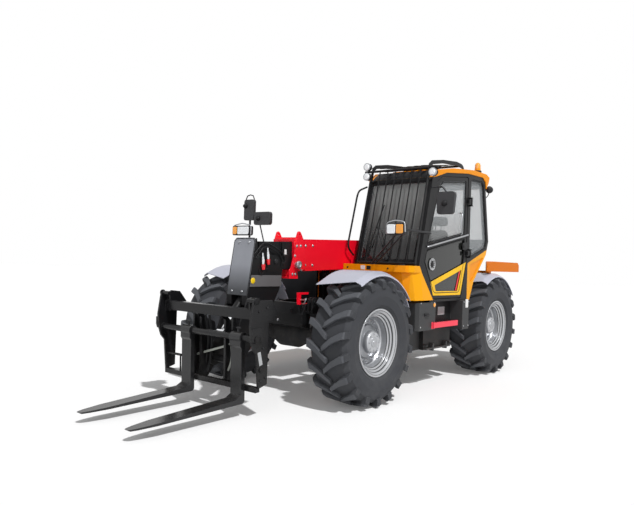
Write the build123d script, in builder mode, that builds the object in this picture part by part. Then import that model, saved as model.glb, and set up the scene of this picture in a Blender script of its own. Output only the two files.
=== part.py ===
"""A four-wheel-steered telehandler with a two-section boom and a pallet-fork carriage.

Millimetres. +X points forwards, +Y to the machine's left and +Z up, with the origin on the
ground under the middle of the machine's outline. It stands parked: boom down, forks low.
"""
import os
from math import cos, hypot, radians, sin

from build123d import *

os.makedirs("parts", exist_ok=True)

# Running gear
FRONT_AXLE_X = 720
WHEELBASE = 2800
REAR_AXLE_X = FRONT_AXLE_X - WHEELBASE
TYRE_RADIUS = 628
WHEEL_Y = 930
KINGPIN_Y = 780
RIM_FLANGE_RADIUS = 330
BEAD_RADIUS = 300
HUB_RADIUS = 107
HUB_FACE = 136
LUGS = 18
SPINDLE_RADIUS = 60
KINGPIN_RADIUS = 30
FENDER_RADIUS = TYRE_RADIUS + 72
FENDER_SHEET = 6

# Chassis
FRAME_HALF_WIDTH = 225
FRAME_PLATE = 25
FRAME_BOTTOM = 560
AXLE_ARCH_BOTTOM = 790
FRAME_FRONT_X = 1010
FRAME_REAR_X = REAR_AXLE_X - 745
REAR_END_X = REAR_AXLE_X - 950
COUNTERWEIGHT_TOP = 1300
COVER_TOP = 1480
COVER_BOTTOM = 1345

TOW_PIN_X = REAR_END_X + 60
TOW_PIN_RADIUS = 16

# Cab
CAB_LEFT = 1050
CAB_RIGHT = 190
CAB_WALL = 45
CAB_FLOOR_Z = 985
GLASS = 6
DOOR_THICKNESS = 38
DOOR_GAP = 8
DOOR_HINGE_X = -1322
DOOR_HINGE_Y = 1080
DOOR_HINGES = (1560, 2200)
DOOR_PIN_RADIUS = 8

# Boom
PIVOT_X = -2330
PIVOT_Z = 1580
BOOM_PITCH = 2.31
BOOM_WIDTH = 300
BOOM_HEIGHT = 340
BOOM_WALL = 12
BOOM_FRONT = 3235
INNER_WIDTH = 240
INNER_HEIGHT = 284
INNER_WALL = 10
INNER_REAR = 180
INNER_FRONT = 3720
NOSE_FLANGE = 3380
PAD_CLEARANCE = 0.5
NOSE_HALF_WIDTH = 150
NOSE_PLATE = 20
PIVOT_PIN_RADIUS = 40
LIFT_BASE = (-1730, 780)
LIFT_EYE = (-465, 1217)
CARRIAGE_PIN = (1700, 430)
TILT_BASE = (1180, 1380)
TILT_EYE = (1735, 678)
CYLINDER_BORE = 65
TILT_BORE = 45

# Carriage and forks
CARRIAGE_LEAN = 1.9
CARRIAGE_HALF_WIDTH = 660
SIDE_PLATE = 20
SHAFT_RADIUS = 29
SHAFT_AT = (222, 278)
FORK_WIDTH = 137
FORK_THICKNESS = 45
FORK_FRONT = 245
FORK_TIP = 1340
FORK_UNDERSIDE = -300
FORKS = {"fork_right": -250, "fork_left": 440}

# Engine bay, on the machine's right
BAY_FRONT_X = -30
BAY_REAR_X = -1310
HOOD_AXIS = (-285, 1440)
HOOD_HINGES = (-1180, -180)
HOOD_PIN_RADIUS = 10

# Fits
RUNNING_FIT = 0.3
SEAT_GAP = 0.3

boom_direction = (cos(radians(BOOM_PITCH)), 0, -sin(radians(BOOM_PITCH)))
lean_direction = (cos(radians(CARRIAGE_LEAN)), 0, -sin(radians(CARRIAGE_LEAN)))
CARRIAGE_SIDE = Plane(origin=(CARRIAGE_PIN[0], 0, CARRIAGE_PIN[1]), x_dir=lean_direction, z_dir=(0, -1, 0))


def save(builder, name):
    """Label a finished piece and write its STEP file."""
    builder.part.label = name
    export_step(builder.part, f"parts/{name}.step")


def outline(plane, points, grow=0, rounding=0):
    """A face from a closed outline of points on a plane."""
    with BuildSketch(plane) as face:
        with BuildLine():
            Polyline(*points, close=True)
        make_face()
        if grow:
            offset(amount=grow, kind=Kind.INTERSECTION)
        if rounding:
            fillet(face.vertices(), rounding)
    return face.sketch


def panel(points, x_low, x_high, mode=Mode.ADD, rounding=0):
    """A plate with an outline in (y, z) that spans x_low to x_high."""
    extrude(outline(Plane.YZ.offset(x_low), points, 0, rounding), amount=x_high - x_low, mode=mode)


def slab(points, y_low, y_high, mode=Mode.ADD, side=Plane.XZ, grow=0, rounding=0):
    """A plate with an outline in (x, z) that spans y_low to y_high."""
    extrude(outline(side.offset(-y_high), points, grow, rounding), amount=y_high - y_low, mode=mode)


def plate_pair(points, y_low, y_high, side=Plane.XZ, mode=Mode.ADD):
    """The same plate on both sides of the middle."""
    slab(points, y_low, y_high, mode, side)
    slab(points, -y_high, -y_low, mode, side)


def tray(points, z_low, z_high, mode=Mode.ADD, rounding=0):
    """A block with an outline in (x, y) that spans z_low to z_high."""
    extrude(outline(Plane.XY.offset(z_low), points, 0, rounding), amount=z_high - z_low, mode=mode)


def box(x_low, x_high, y_low, y_high, z_low, z_high, mode=Mode.ADD):
    """A block between two corners."""
    tray([(x_low, y_low), (x_high, y_low), (x_high, y_high), (x_low, y_high)], z_low, z_high, mode)


def bar(start, end, radius, mode=Mode.ADD):
    """A round bar between two points."""
    along = Vector(*end) - Vector(*start)
    with BuildSketch(Plane(origin=start, z_dir=along.normalized())) as section:
        Circle(radius)
    extrude(section.sketch, amount=along.length, mode=mode)


def cross_bar(x, z, y_low, y_high, radius, mode=Mode.ADD):
    """A round bar across the machine."""
    bar((x, y_low, z), (x, y_high, z), radius, mode)


def bent_bar(points, radius):
    """A round bar along several points, with ball joints at its bends."""
    for start, end in zip(points, points[1:]):
        bar(start, end, radius)
    for point in points[1:-1]:
        with Locations(point):
            Sphere(radius)


def height_at(points, x):
    """The height of a line through (x, z) points at one x."""
    for (x_one, z_one), (x_two, z_two) in zip(points, points[1:]):
        if min(x_one, x_two) <= x <= max(x_one, x_two):
            return z_one + (z_two - z_one) * (x - x_one) / (x_two - x_one)


def boom_point(u, v=0, y=0):
    """A point at u along the boom from its pivot and v above its middle line."""
    pitch = radians(BOOM_PITCH)
    return (PIVOT_X + u * cos(pitch) + v * sin(pitch), y, PIVOT_Z - u * sin(pitch) + v * cos(pitch))


def carriage_point(u, v, y=0):
    """A point at u ahead of the carriage pin and v above it, in the leaning carriage."""
    lean = radians(CARRIAGE_LEAN)
    x, z = CARRIAGE_PIN
    return (x + u * cos(lean) + v * sin(lean), y, z - u * sin(lean) + v * cos(lean))


def boom_section(u, width, height, length, mode=Mode.ADD):
    """A rectangular bar along the boom."""
    start = boom_point(u)
    with BuildSketch(Plane(origin=start, x_dir=(0, 1, 0), z_dir=boom_direction)) as section:
        Rectangle(width, height)
    extrude(section.sketch, amount=length, mode=mode)


# ---------------------------------------------------------------- chassis
PLATE_OUTLINE = [
    (FRAME_FRONT_X - 10, 800), (FRAME_FRONT_X - 10, 900), (600, 960), (-1500, 960), (-2000, 1300),
    (-2200, 1700), (-2290, 1730), (-2440, 1730), (-2560, 1600), (FRAME_REAR_X, 1300),
    (FRAME_REAR_X, 700), (-2330, AXLE_ARCH_BOTTOM), (-1830, AXLE_ARCH_BOTTOM), (-1760, FRAME_BOTTOM),
    (430, FRAME_BOTTOM), (500, AXLE_ARCH_BOTTOM), (900, AXLE_ARCH_BOTTOM),
]
with BuildPart() as chassis_frame:
    plate_pair(PLATE_OUTLINE, FRAME_HALF_WIDTH - FRAME_PLATE, FRAME_HALF_WIDTH)
    inside = FRAME_HALF_WIDTH - FRAME_PLATE
    for x_low, x_high in ((-1480, -1400), (-700, -620), (100, 180), (-1750, -1690)):
        box(x_low, x_high, -inside, inside, 640, 700)
    slab([(880, 700), (1000, 730), (FRAME_FRONT_X, 850), (950, 960), (880, 960)], -380, 380)
    box(FRAME_REAR_X, FRAME_REAR_X + 40, -inside, inside, 720, 1290)
    for y_low, y_high in ((400, 420), (450, 470)):
        plate_pair([(860, 880), (960, 880), (960, 1000), (930, 1025), (890, 1025), (860, 1000)], y_low,
                   y_high)
    for side in (-1, 1):
        box(870, 950, *sorted((side * 378, side * 470)), 860, 882)
        cross_bar(915, 985, *sorted((side * 392, side * 478)), 20)
    plate_pair([(1040, 958), (1047, 1073), (876, 1073), (876, 1051), (992, 1051), (985, 945), (900, 900),
                (1000, 880)],
               330, 345)
    plate_pair([(-1790, 700), (-1670, 700), (-1690, 800), (-1770, 800)], 70, 95)
    box(-1790, -1670, -inside, inside, 660, 702)
    cross_bar(*LIFT_BASE, -95, 95, 30)
    plate_pair([(-2410, 1500), (-2250, 1500), (-2250, 1660), (-2410, 1660)], FRAME_HALF_WIDTH,
               FRAME_HALF_WIDTH + 15)
    cross_bar(PIVOT_X, PIVOT_Z, -FRAME_HALF_WIDTH - 25, FRAME_HALF_WIDTH + 25, PIVOT_PIN_RADIUS)
    box(BAY_REAR_X, BAY_FRONT_X, -1060, -FRAME_HALF_WIDTH + 1, 560, 600)
    box(BAY_REAR_X, BAY_FRONT_X, -1100, -1060, 560, 690)
    box(BAY_FRONT_X - 30, BAY_FRONT_X, -1100, -FRAME_HALF_WIDTH + 1, 560, 960)
    box(BAY_FRONT_X - 30, BAY_FRONT_X, -1100, -300, 959, 1400)
    for x in HOOD_HINGES:
        box(x - 50, x - 30, -300, -270, 590, 1450)
        box(x + 30, x + 50, -300, -270, 590, 1450)
        bar((x - 50, *HOOD_AXIS), (x + 50, *HOOD_AXIS), HOOD_PIN_RADIUS)
save(chassis_frame, "chassis_frame")


def make_axle(x, name):
    """A drive axle: a cast housing with a yoke at each end."""
    z = TYRE_RADIUS
    with BuildPart() as axle:
        with BuildSketch(Plane.YZ.offset(x)) as half:
            with BuildLine():
                Polyline((0, z), (0, z + 160), (110, z + 160), (190, z + 120), (300, z + 95),
                         (560, z + 80), (560, z), close=True)
            make_face()
        revolve(half.sketch, Axis((x, 0, z), (0, 1, 0)))
        mirror(axle.part, about=Plane.XZ)
        for side in (-1, 1):
            box(x - 60, x + 60, *sorted((side * 550, side * 640)), z - 155, z + 155)
            for low in (115, -155):
                with BuildSketch(Plane.XY.offset(z + low)) as arm:
                    with Locations((x, side * 700)):
                        Rectangle(120, 160)
                    with Locations((x, side * KINGPIN_Y)):
                        Circle(60)
                extrude(arm.sketch, amount=40)
            bar((x, side * KINGPIN_Y, z - 170), (x, side * KINGPIN_Y, z + 170),
                KINGPIN_RADIUS + RUNNING_FIT, Mode.SUBTRACT)
            box(x - 100, x + 100, *sorted((side * (FRAME_HALF_WIDTH - FRAME_PLATE), side * FRAME_HALF_WIDTH)),
                z, AXLE_ARCH_BOTTOM - SEAT_GAP)
    save(axle, name)


make_axle(FRONT_AXLE_X, "front_axle")
make_axle(REAR_AXLE_X, "rear_axle")

with BuildPart() as driveline:
    box(-950, -300, -190, 190, 430, 640 - SEAT_GAP)
    bar((-300, 0, 560), (FRONT_AXLE_X - 160 - SEAT_GAP, 0, 600), 35)
    bar((-950, 0, 560), (REAR_AXLE_X + 160 + SEAT_GAP, 0, 600), 35)
save(driveline, "driveline")

with BuildPart() as counterweight:
    panel([(-950, 620), (-950, 1060), (-800, COUNTERWEIGHT_TOP - 50), (-620, COUNTERWEIGHT_TOP),
           (620, COUNTERWEIGHT_TOP), (800, COUNTERWEIGHT_TOP - 50), (950, 1060), (950, 620),
           (900, 600), (-900, 600)], REAR_END_X, FRAME_REAR_X - SEAT_GAP, rounding=15)
    for side in (-1, 1):
        box(REAR_END_X - 1, REAR_END_X + 30, *sorted((side * 640, side * 820)), 1060, 1150, Mode.SUBTRACT)
    box(REAR_END_X - 1, TOW_PIN_X + 60, -90, 90, 720, 880, Mode.SUBTRACT)
    box(REAR_END_X - 1, TOW_PIN_X + 60, -90, 90, 960, COUNTERWEIGHT_TOP + 1, Mode.SUBTRACT)
    bar((TOW_PIN_X, 0, 599), (TOW_PIN_X, 0, 961), TOW_PIN_RADIUS, Mode.SUBTRACT)
save(counterweight, "counterweight")

with BuildPart() as engine_block:
    box(-1150, -350, -950, -420, 600 + SEAT_GAP, 1250)
save(engine_block, "engine_block")

# ---------------------------------------------------------------- wheels, knuckles and fenders
RIM_PROFILE = [  # offset from the wheel's middle, radius
    (195, RIM_FLANGE_RADIUS), (186, RIM_FLANGE_RADIUS), (178, BEAD_RADIUS), (150, 294), (141, 276), (130, 272),
    (118, 254), (-118, 254), (-150, 294), (-178, BEAD_RADIUS), (-186, RIM_FLANGE_RADIUS),
    (-195, RIM_FLANGE_RADIUS), (-195, 316), (-171, 286), (-158, 284), (-126, 244), (28, 244), (28, 205),
    (50, SPINDLE_RADIUS + RUNNING_FIT), (110 + RUNNING_FIT, SPINDLE_RADIUS + RUNNING_FIT),
    (110 + RUNNING_FIT, 0), (HUB_FACE, 0), (HUB_FACE, HUB_RADIUS - 12), (HUB_FACE - 12, HUB_RADIUS),
    (76, HUB_RADIUS + 3), (64, 160), (44, 172), (44, 222), (66, 238), (126, 246),
    (136, 263), (149, 267), (158, 284), (171, 286), (195, 316),
]
TYRE_PROFILE = [
    (-177, BEAD_RADIUS + SEAT_GAP), (-186, 334), (-214, 366), (-230, 450), (-215, 535), (-178, 570), (0, 586),
    (178, 570), (215, 535), (230, 450), (214, 366), (186, 334), (177, BEAD_RADIUS + SEAT_GAP), (151, 295),
    (-151, 295),
]
LUG_LIMIT = [(0, TYRE_RADIUS), (205, 616), (230, 586), (230, 520), (-230, 520), (-230, 586), (-205, 616)]
LUG_OUTLINE = [(-22, -105), (92, -22), (182, 20), (235, 34), (235, 98), (172, 82), (78, 28), (-22, -60)]


def turned(x, y, profile):
    """Revolve a closed profile of (offset, radius) about a wheel's own axis."""
    with BuildSketch(Plane.YZ.offset(x)) as face:
        with BuildLine():
            Polyline(*[(y + offset_y, TYRE_RADIUS + radius) for offset_y, radius in profile], close=True)
        make_face()
    revolve(face.sketch, Axis((x, y, TYRE_RADIUS), (0, 1, 0)))


with BuildPart() as lug_ring:
    for side in (-1, 1):
        with BuildSketch(Plane.XY.offset(525)) as lug:
            with BuildLine():
                Polyline(*[(-along, side * across) for across, along in LUG_OUTLINE], close=True)
            make_face()
        lug_block = extrude(lug.sketch, amount=120, mode=Mode.PRIVATE)
        for step in range(LUGS):
            turn = (step + 0.25 * side) * 360 / LUGS
            add(lug_block.rotate(Axis.Y, turn))
    with BuildSketch(Plane.YZ) as limit:
        with BuildLine():
            Polyline(*LUG_LIMIT, close=True)
        make_face()
    revolve(limit.sketch, Axis.Y, mode=Mode.INTERSECT)


def make_corner(name, x, side):
    """One wheel with the knuckle that steers it and the fender that turns with it."""
    z = TYRE_RADIUS
    y = side * WHEEL_Y
    king = side * KINGPIN_Y
    fender_x = x - 40
    fender_z = z - 8
    with BuildPart() as knuckle:
        bar((x, king, z - 112), (x, king, z + 112), 68)
        bar((x, king, z - 158), (x, king, z + 158), KINGPIN_RADIUS)
        bar((x, king, z), (x, side * (WHEEL_Y + 20), z), 100)
        bar((x, king, z), (x, side * (WHEEL_Y + 110), z), SPINDLE_RADIUS)
        tray([(x + 10, king - 40 * side), (x + 10, king + 20 * side), (x - 200, king - 60 * side),
              (x - 270, king - 80 * side), (x - 270, king - 115 * side), (x - 200, king - 115 * side),
              (x - 150, king - 66 * side)], z - 60, z - 40)
        slab([(x - 270, z - 60), (x - 200, z - 60), (x - 130, 1150), (x - 60, 1340), (x - 160, 1340),
              (x - 210, 1150)],
             *sorted((king - 115 * side, king - 103 * side)))
        with BuildSketch(Plane.XZ.offset(-king - 200)) as above:
            with Locations((fender_x, fender_z)):
                Circle(FENDER_RADIUS + 200)
                Circle(FENDER_RADIUS - FENDER_SHEET - SEAT_GAP, mode=Mode.SUBTRACT)
        extrude(above.sketch, amount=400, mode=Mode.SUBTRACT)
    save(knuckle, f"knuckle_{name}")
    section = [  # across the fender: y from the kingpin, radius
        (-118, FENDER_RADIUS), (280, FENDER_RADIUS), (335, FENDER_RADIUS - 28), (348, FENDER_RADIUS - 48),
        (341, FENDER_RADIUS - 50), (329, FENDER_RADIUS - 33), (278, FENDER_RADIUS - FENDER_SHEET),
        (-118, FENDER_RADIUS - FENDER_SHEET),
    ]
    with BuildPart() as fender:
        with BuildSketch(Plane.YZ.offset(fender_x)) as face:
            with BuildLine():
                Polyline(*[(king + side * dy, fender_z + radius) for dy, radius in section], close=True)
            make_face()
        revolve(face.sketch, Axis((fender_x, 0, fender_z), (0, 1, 0)), revolution_arc=-78)
        extrude(face.sketch, amount=200)
    with BuildPart() as flap:
        with BuildSketch(Plane.YZ.offset(fender_x)) as face:
            with Locations((king + side * 90, fender_z + FENDER_RADIUS - FENDER_SHEET - 3)):
                Rectangle(380, 8)
        revolve(face.sketch, Axis((fender_x, 0, fender_z), (0, 1, 0)), revolution_arc=-15)
    turning = Axis((fender_x, 0, fender_z), (0, 1, 0))
    with BuildPart() as placed:
        add(fender.part.rotate(turning, 25))
        tray([(x + 432, king - side * 140), (x + 305, king + side * 390), (x + 700, king + side * 390),
              (x + 700, king - side * 140)], z + 300, z + 900, Mode.SUBTRACT)
        add(flap.part.rotate(turning, -50))
    save(placed, f"fender_{name}")
    with BuildPart() as rim:
        turned(x, y, [(side * offset_y, radius) for offset_y, radius in RIM_PROFILE])
    save(rim, f"rim_{name}")
    with BuildPart() as tyre:
        turned(x, y, TYRE_PROFILE)
        with Locations((x, y, z)):
            add(lug_ring.part)
    save(tyre, f"tyre_{name}")


for corner_name, corner_x, corner_side in (
    ("front_left", FRONT_AXLE_X, 1), ("front_right", FRONT_AXLE_X, -1),
    ("rear_left", REAR_AXLE_X, 1), ("rear_right", REAR_AXLE_X, -1),
):
    make_corner(corner_name, corner_x, corner_side)

# ---------------------------------------------------------------- cab
CAB_OUTLINE = [
    (-130, 1385), (-375, 2385), (-480, 2412), (-700, 2480), (-1274, 2546), (-1690, 2552), (-1775, 2500),
    (-1925, 1740), (-1860, 1560), (-1510, 1215), (-1400, CAB_FLOOR_Z), (-395, CAB_FLOOR_Z),
]
ROOF_TOP = [(-376, 2390), (-420, 2430), (-511, 2492), (-861, 2554), (-1416, 2609), (-1786, 2608),
            (-1885, 2575)]
DOOR_OUTLINE = [(-190, 1400), (-490, 2350), (-600, 2415), (-1285, 2500), (-1285, 1450), (-1160, 1020),
                (-440, 1020)]
QUARTER_WINDOW = [(-1352, 2490), (-1680, 2500), (-1735, 2460), (-1878, 1745), (-1830, 1640), (-1352, 1500)]
QUARTER_RECESS = [(-1400, 1425), (-1800, 1530), (-1500, 1250), (-1395, 1190)]
RIGHT_WINDOW = [(-270, 1480), (-490, 2335), (-600, 2395), (-1680, 2500), (-1735, 2460), (-1878, 1745),
                (-1800, 1620), (-1400, 1480)]
cab_middle = (CAB_LEFT + CAB_RIGHT) / 2
screen_low, screen_high = CAB_RIGHT + 65, CAB_LEFT - 65
SCREEN_CUT = [(-60, 1450), (-260, 2330), (-500, 2330), (-260, 1450)]
REAR_CUT = [(-1600, 1760), (-1950, 1760), (-1950, 2420), (-1600, 2420)]

with BuildPart() as cab_shell:
    slab(CAB_OUTLINE, CAB_RIGHT, CAB_LEFT)
    slab(CAB_OUTLINE, CAB_RIGHT + CAB_WALL, CAB_LEFT - CAB_WALL, Mode.SUBTRACT, grow=-CAB_WALL)
    slab(DOOR_OUTLINE, CAB_LEFT - CAB_WALL - 5, CAB_LEFT + 5, Mode.SUBTRACT, grow=DOOR_GAP, rounding=38)
    slab(QUARTER_WINDOW, CAB_LEFT - CAB_WALL - 5, CAB_LEFT + 5, Mode.SUBTRACT, rounding=25)
    slab(QUARTER_RECESS, CAB_LEFT - 12, CAB_LEFT + 5, Mode.SUBTRACT, rounding=12)
    slab(RIGHT_WINDOW, CAB_RIGHT - 5, CAB_RIGHT + CAB_WALL + 5, Mode.SUBTRACT, rounding=25)
    slab(SCREEN_CUT, screen_low, screen_high, Mode.SUBTRACT)
    slab(REAR_CUT, screen_low, screen_high, Mode.SUBTRACT)
    box(-1650, -560, screen_low, screen_high, 2300, 2600, Mode.SUBTRACT)
    for hinge_z in DOOR_HINGES:
        bar((DOOR_HINGE_X, DOOR_HINGE_Y, hinge_z - 55), (DOOR_HINGE_X, DOOR_HINGE_Y, hinge_z + 55),
            DOOR_PIN_RADIUS)
        for z_low in (hinge_z - 55, hinge_z + 35):
            box(DOOR_HINGE_X - 18, DOOR_HINGE_X + 12, CAB_LEFT - 1, DOOR_HINGE_Y + 12, z_low, z_low + 20)
save(cab_shell, "cab_shell")

with BuildPart() as cab_roof:
    slab(ROOF_TOP + [(-1862, 2505), (-1700, 2300), (-480, 2300)], CAB_RIGHT - 8, CAB_LEFT + 10)
    slab(CAB_OUTLINE, CAB_RIGHT - 9, CAB_LEFT + 11, Mode.SUBTRACT, grow=SEAT_GAP)
save(cab_roof, "cab_roof")

with BuildPart() as cab_glass:
    slab(QUARTER_WINDOW, CAB_LEFT - 30, CAB_LEFT - 30 + GLASS, grow=-SEAT_GAP, rounding=25)
    slab(RIGHT_WINDOW, CAB_RIGHT + 20, CAB_RIGHT + 20 + GLASS, grow=-SEAT_GAP, rounding=25)
    slope = (375 - 130) / (2385 - 1385)
    front_line = [(-130 - 15 - slope * (z - 1385), z) for z in (1452, 2328)]
    slab([front_line[0], front_line[1], (front_line[1][0] - GLASS, 2328), (front_line[0][0] - GLASS, 1452)],
         screen_low + SEAT_GAP, screen_high - SEAT_GAP)
    rear_slope = (1925 - 1775) / (2500 - 1740)
    rear_line = [(-1925 + 15 + rear_slope * (z - 1740), z) for z in (1762, 2418)]
    slab([rear_line[0], rear_line[1], (rear_line[1][0] + GLASS, 2418), (rear_line[0][0] + GLASS, 1762)],
         screen_low + SEAT_GAP, screen_high - SEAT_GAP)
save(cab_glass, "cab_glass")

DOOR_WINDOW = [(-300, 1625), (-540, 2310), (-625, 2370), (-1235, 2448), (-1235, 1805)]
DOOR_LOWER_WINDOW = [(-250, 1430), (-290, 1565), (-1235, 1745), (-1235, 1480), (-1120, 1075), (-480, 1075)]
DOOR_BADGE = [(-400, 1208), (-1280, 1450), (-1150, 1051), (-470, 1055)]
DOOR_BADGE_INSIDE = [(-500, 1172), (-1165, 1355), (-1065, 1100), (-530, 1104)]
door_outer = CAB_LEFT - 4
door_inner = door_outer - DOOR_THICKNESS
with BuildPart() as door_frame:
    slab(DOOR_OUTLINE, door_inner, door_outer, rounding=30)
    for window in (DOOR_WINDOW, DOOR_LOWER_WINDOW):
        slab(window, door_inner - 5, door_outer + 5, Mode.SUBTRACT, rounding=25)
    slab(DOOR_BADGE, door_outer - 6, door_outer + 2)
    slab(DOOR_BADGE_INSIDE, door_outer - 7, door_outer + 3, Mode.SUBTRACT)
    for hinge_z in DOOR_HINGES:
        bar((DOOR_HINGE_X, DOOR_HINGE_Y, hinge_z - 30), (DOOR_HINGE_X, DOOR_HINGE_Y, hinge_z + 30),
            DOOR_PIN_RADIUS + 6)
        box(DOOR_HINGE_X, DOOR_HINGE_X + 70, DOOR_HINGE_Y - 6, DOOR_HINGE_Y + 6, hinge_z - 25, hinge_z + 25)
        box(DOOR_HINGE_X + 55, DOOR_HINGE_X + 70, door_outer - 1, DOOR_HINGE_Y + 6, hinge_z - 25,
            hinge_z + 25)
        bar((DOOR_HINGE_X, DOOR_HINGE_Y, hinge_z - 31), (DOOR_HINGE_X, DOOR_HINGE_Y, hinge_z + 31),
            DOOR_PIN_RADIUS + RUNNING_FIT, Mode.SUBTRACT)
save(door_frame, "door_frame")

with BuildPart() as door_glass:
    for window in (DOOR_WINDOW, DOOR_LOWER_WINDOW):
        slab(window, door_outer - 20, door_outer - 20 + GLASS, grow=-SEAT_GAP, rounding=25)
save(door_glass, "door_glass")

with BuildPart() as front_cowl:
    with BuildSketch(Plane.XY.offset(1311)) as shoulder:
        with BuildLine():
            Polyline((35, CAB_RIGHT), (35, 930), (-15, 1035), (-150, 1060), (-400, 1060), (-400, CAB_RIGHT),
                     close=True)
        make_face()
    with BuildSketch(Plane.XY.offset(1010)) as foot:
        with BuildLine():
            Polyline((35, CAB_RIGHT), (35, 980), (-10, 1082), (-150, 1100), (-400, 1100), (-400, CAB_RIGHT),
                     close=True)
        make_face()
    loft([foot.sketch, shoulder.sketch], ruled=True)
    tray([(100, CAB_RIGHT), (100, 880), (60, 1000), (-20, 1058), (-300, 1064), (-300, CAB_RIGHT)], 1310, 1384,
         rounding=12)
    slab([(-130 + SEAT_GAP * 1.2, 1385), (-395 + SEAT_GAP * 1.2, CAB_FLOOR_Z), (-500, CAB_FLOOR_Z),
          (-500, 1385)],
         CAB_RIGHT - 1, 1150, Mode.SUBTRACT)
save(front_cowl, "front_cowl")

with BuildPart() as seat:
    box(-1300, -800, 380, 860, 1320, 1440)
    slab([(-1300, 1440), (-1180, 1440), (-1300, 2050), (-1400, 2050)], 400, 840)
save(seat, "seat")

with BuildPart() as cab_controls:
    box(-1330, -780, 360, 880, CAB_FLOOR_Z + CAB_WALL + SEAT_GAP, 1320 - SEAT_GAP)
    slab([(-430, CAB_FLOOR_Z + CAB_WALL + SEAT_GAP), (-520, CAB_FLOOR_Z + CAB_WALL + SEAT_GAP), (-560, 1600),
          (-500, 1630)], 560, 680)
    bar((-520, 620, 1600), (-560, 620, 1720), 25)
    with BuildSketch(Plane(origin=(-560, 620, 1720), z_dir=(-0.32, 0, 0.95))) as wheel:
        Circle(190)
        Circle(165, mode=Mode.SUBTRACT)
        Rectangle(350, 30)
    extrude(wheel.sketch, amount=20)
    box(-1250, -760, 262, 345, CAB_FLOOR_Z + CAB_WALL + SEAT_GAP, 1560)
    box(-1200, -760, 262, 370, 1300, 1318)
    bent_bar([(-850, 305, 1550), (-830, 305, 1650), (-810, 300, 1690)], 12)
    with Locations((-810, 300, 1705)):
        Sphere(26)
    slab([(-285, 1300), (-350, 1480), (-420, 1500), (-440, 1440), (-400, 1300)], 480, 760)
    slab([(-290, 1320), (-400, 1320), (-530, CAB_FLOOR_Z + CAB_WALL + SEAT_GAP),
          (-470, CAB_FLOOR_Z + CAB_WALL + SEAT_GAP)],
         560, 680)
save(cab_controls, "cab_controls")

with BuildPart() as windscreen_guard:
    low, knee, back = (-80, 1405), (-325, 2490), (-1120, 2622)
    guard_right, guard_left = CAB_RIGHT + 80, CAB_LEFT - 20
    foot_x = -1170
    foot_z = height_at(ROOF_TOP, foot_x) + 1.5 * SEAT_GAP
    for y in (guard_right, guard_left):
        slab([(-62, 1400), (-98, 1400), (-343, 2475), (-352, 2500), (-400, 2535), (-640, 2580), (-975, 2606),
              (-1110, 2594), (foot_x + 30, foot_z + 3), (foot_x, foot_z), (foot_x - 8, foot_z + 12),
              (-1150, 2628), (-1110, 2644), (-975, 2652), (-640, 2622), (-385, 2578), (-320, 2535),
              (-307, 2490)], y - 5, y + 5)
        bar((-300, y, 2365), (-366.5, y, 2365), 12)
        bar((-80, y, 1384 + SEAT_GAP), (-80, y, 1405), 12)
    for x, z in (low, knee, back, (-600, height_at([knee, back], -600))):
        cross_bar(x, z, guard_right, guard_left, 14)
    cross_bar(*knee, 165, 1138, 14)
    for step in range(1, 7):
        y = guard_right + step * (guard_left - guard_right) / 7
        bent_bar([(low[0], y, low[1]), (knee[0], y, knee[1]), (back[0], y, back[1])], 7)
save(windscreen_guard, "windscreen_guard")

with BuildPart() as side_box:
    inner, top = FRAME_HALF_WIDTH + SEAT_GAP, CAB_FLOOR_Z - SEAT_GAP
    tray([(-450, inner), (-60, inner), (-60, 1060), (-90, 1095), (-450, 1095)], 680, top)
    box(-450, -200, inner, 900, 430, 681)
    box(-1100, -450, inner, 950, 430, top)
    tray([(-1300, inner), (-1100, inner), (-1100, 1110), (-1270, 1110), (-1300, 1080)], 640, top)
    box(-960, -380, 940, 1122, 700, 760)
    for z, radius in ((480, 15), (440, 10)):
        bent_bar([(-470, 940, z), (-480, 978, z), (-1050, 978, z), (-1060, 940, z)], radius)
    box(-640, -610, 940, 990, 415, 500)
    box(-960, -930, 940, 990, 415, 500)
save(side_box, "side_box")

COVER_FRONT_X = REAR_AXLE_X + 180
with BuildPart() as rear_covers:
    for side in (-1, 1):
        y_low, y_high = sorted((side * 590, side * 1050))
        slab([(COVER_FRONT_X, COVER_BOTTOM), (COVER_FRONT_X - 40, COVER_BOTTOM + 70),
              (COVER_FRONT_X - 110, COVER_TOP - 25), (COVER_FRONT_X - 200, COVER_TOP),
              (REAR_END_X + 50, COVER_TOP), (REAR_END_X, COVER_TOP - 40), (REAR_END_X, COVER_BOTTOM)],
             y_low, y_high, rounding=12)
        tray([(COVER_FRONT_X + 10, side * 1051), (REAR_END_X + 230, side * 640),
              (REAR_END_X - 10, side * 600), (REAR_END_X - 10, side * 580), (COVER_FRONT_X + 10, side * 580)],
             COVER_BOTTOM - 5, COVER_TOP + 5, Mode.SUBTRACT)
        box(REAR_END_X + 215, REAR_END_X + 285, *sorted((side * (FRAME_HALF_WIDTH + SEAT_GAP), side * 720)),
            COVER_BOTTOM - 50, COVER_BOTTOM + 5)
        box(COVER_FRONT_X - 160, COVER_FRONT_X - 100, *sorted((side * 985, side * 1035)), COVER_BOTTOM - 18,
            COVER_BOTTOM + 5)
save(rear_covers, "rear_covers")

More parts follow.
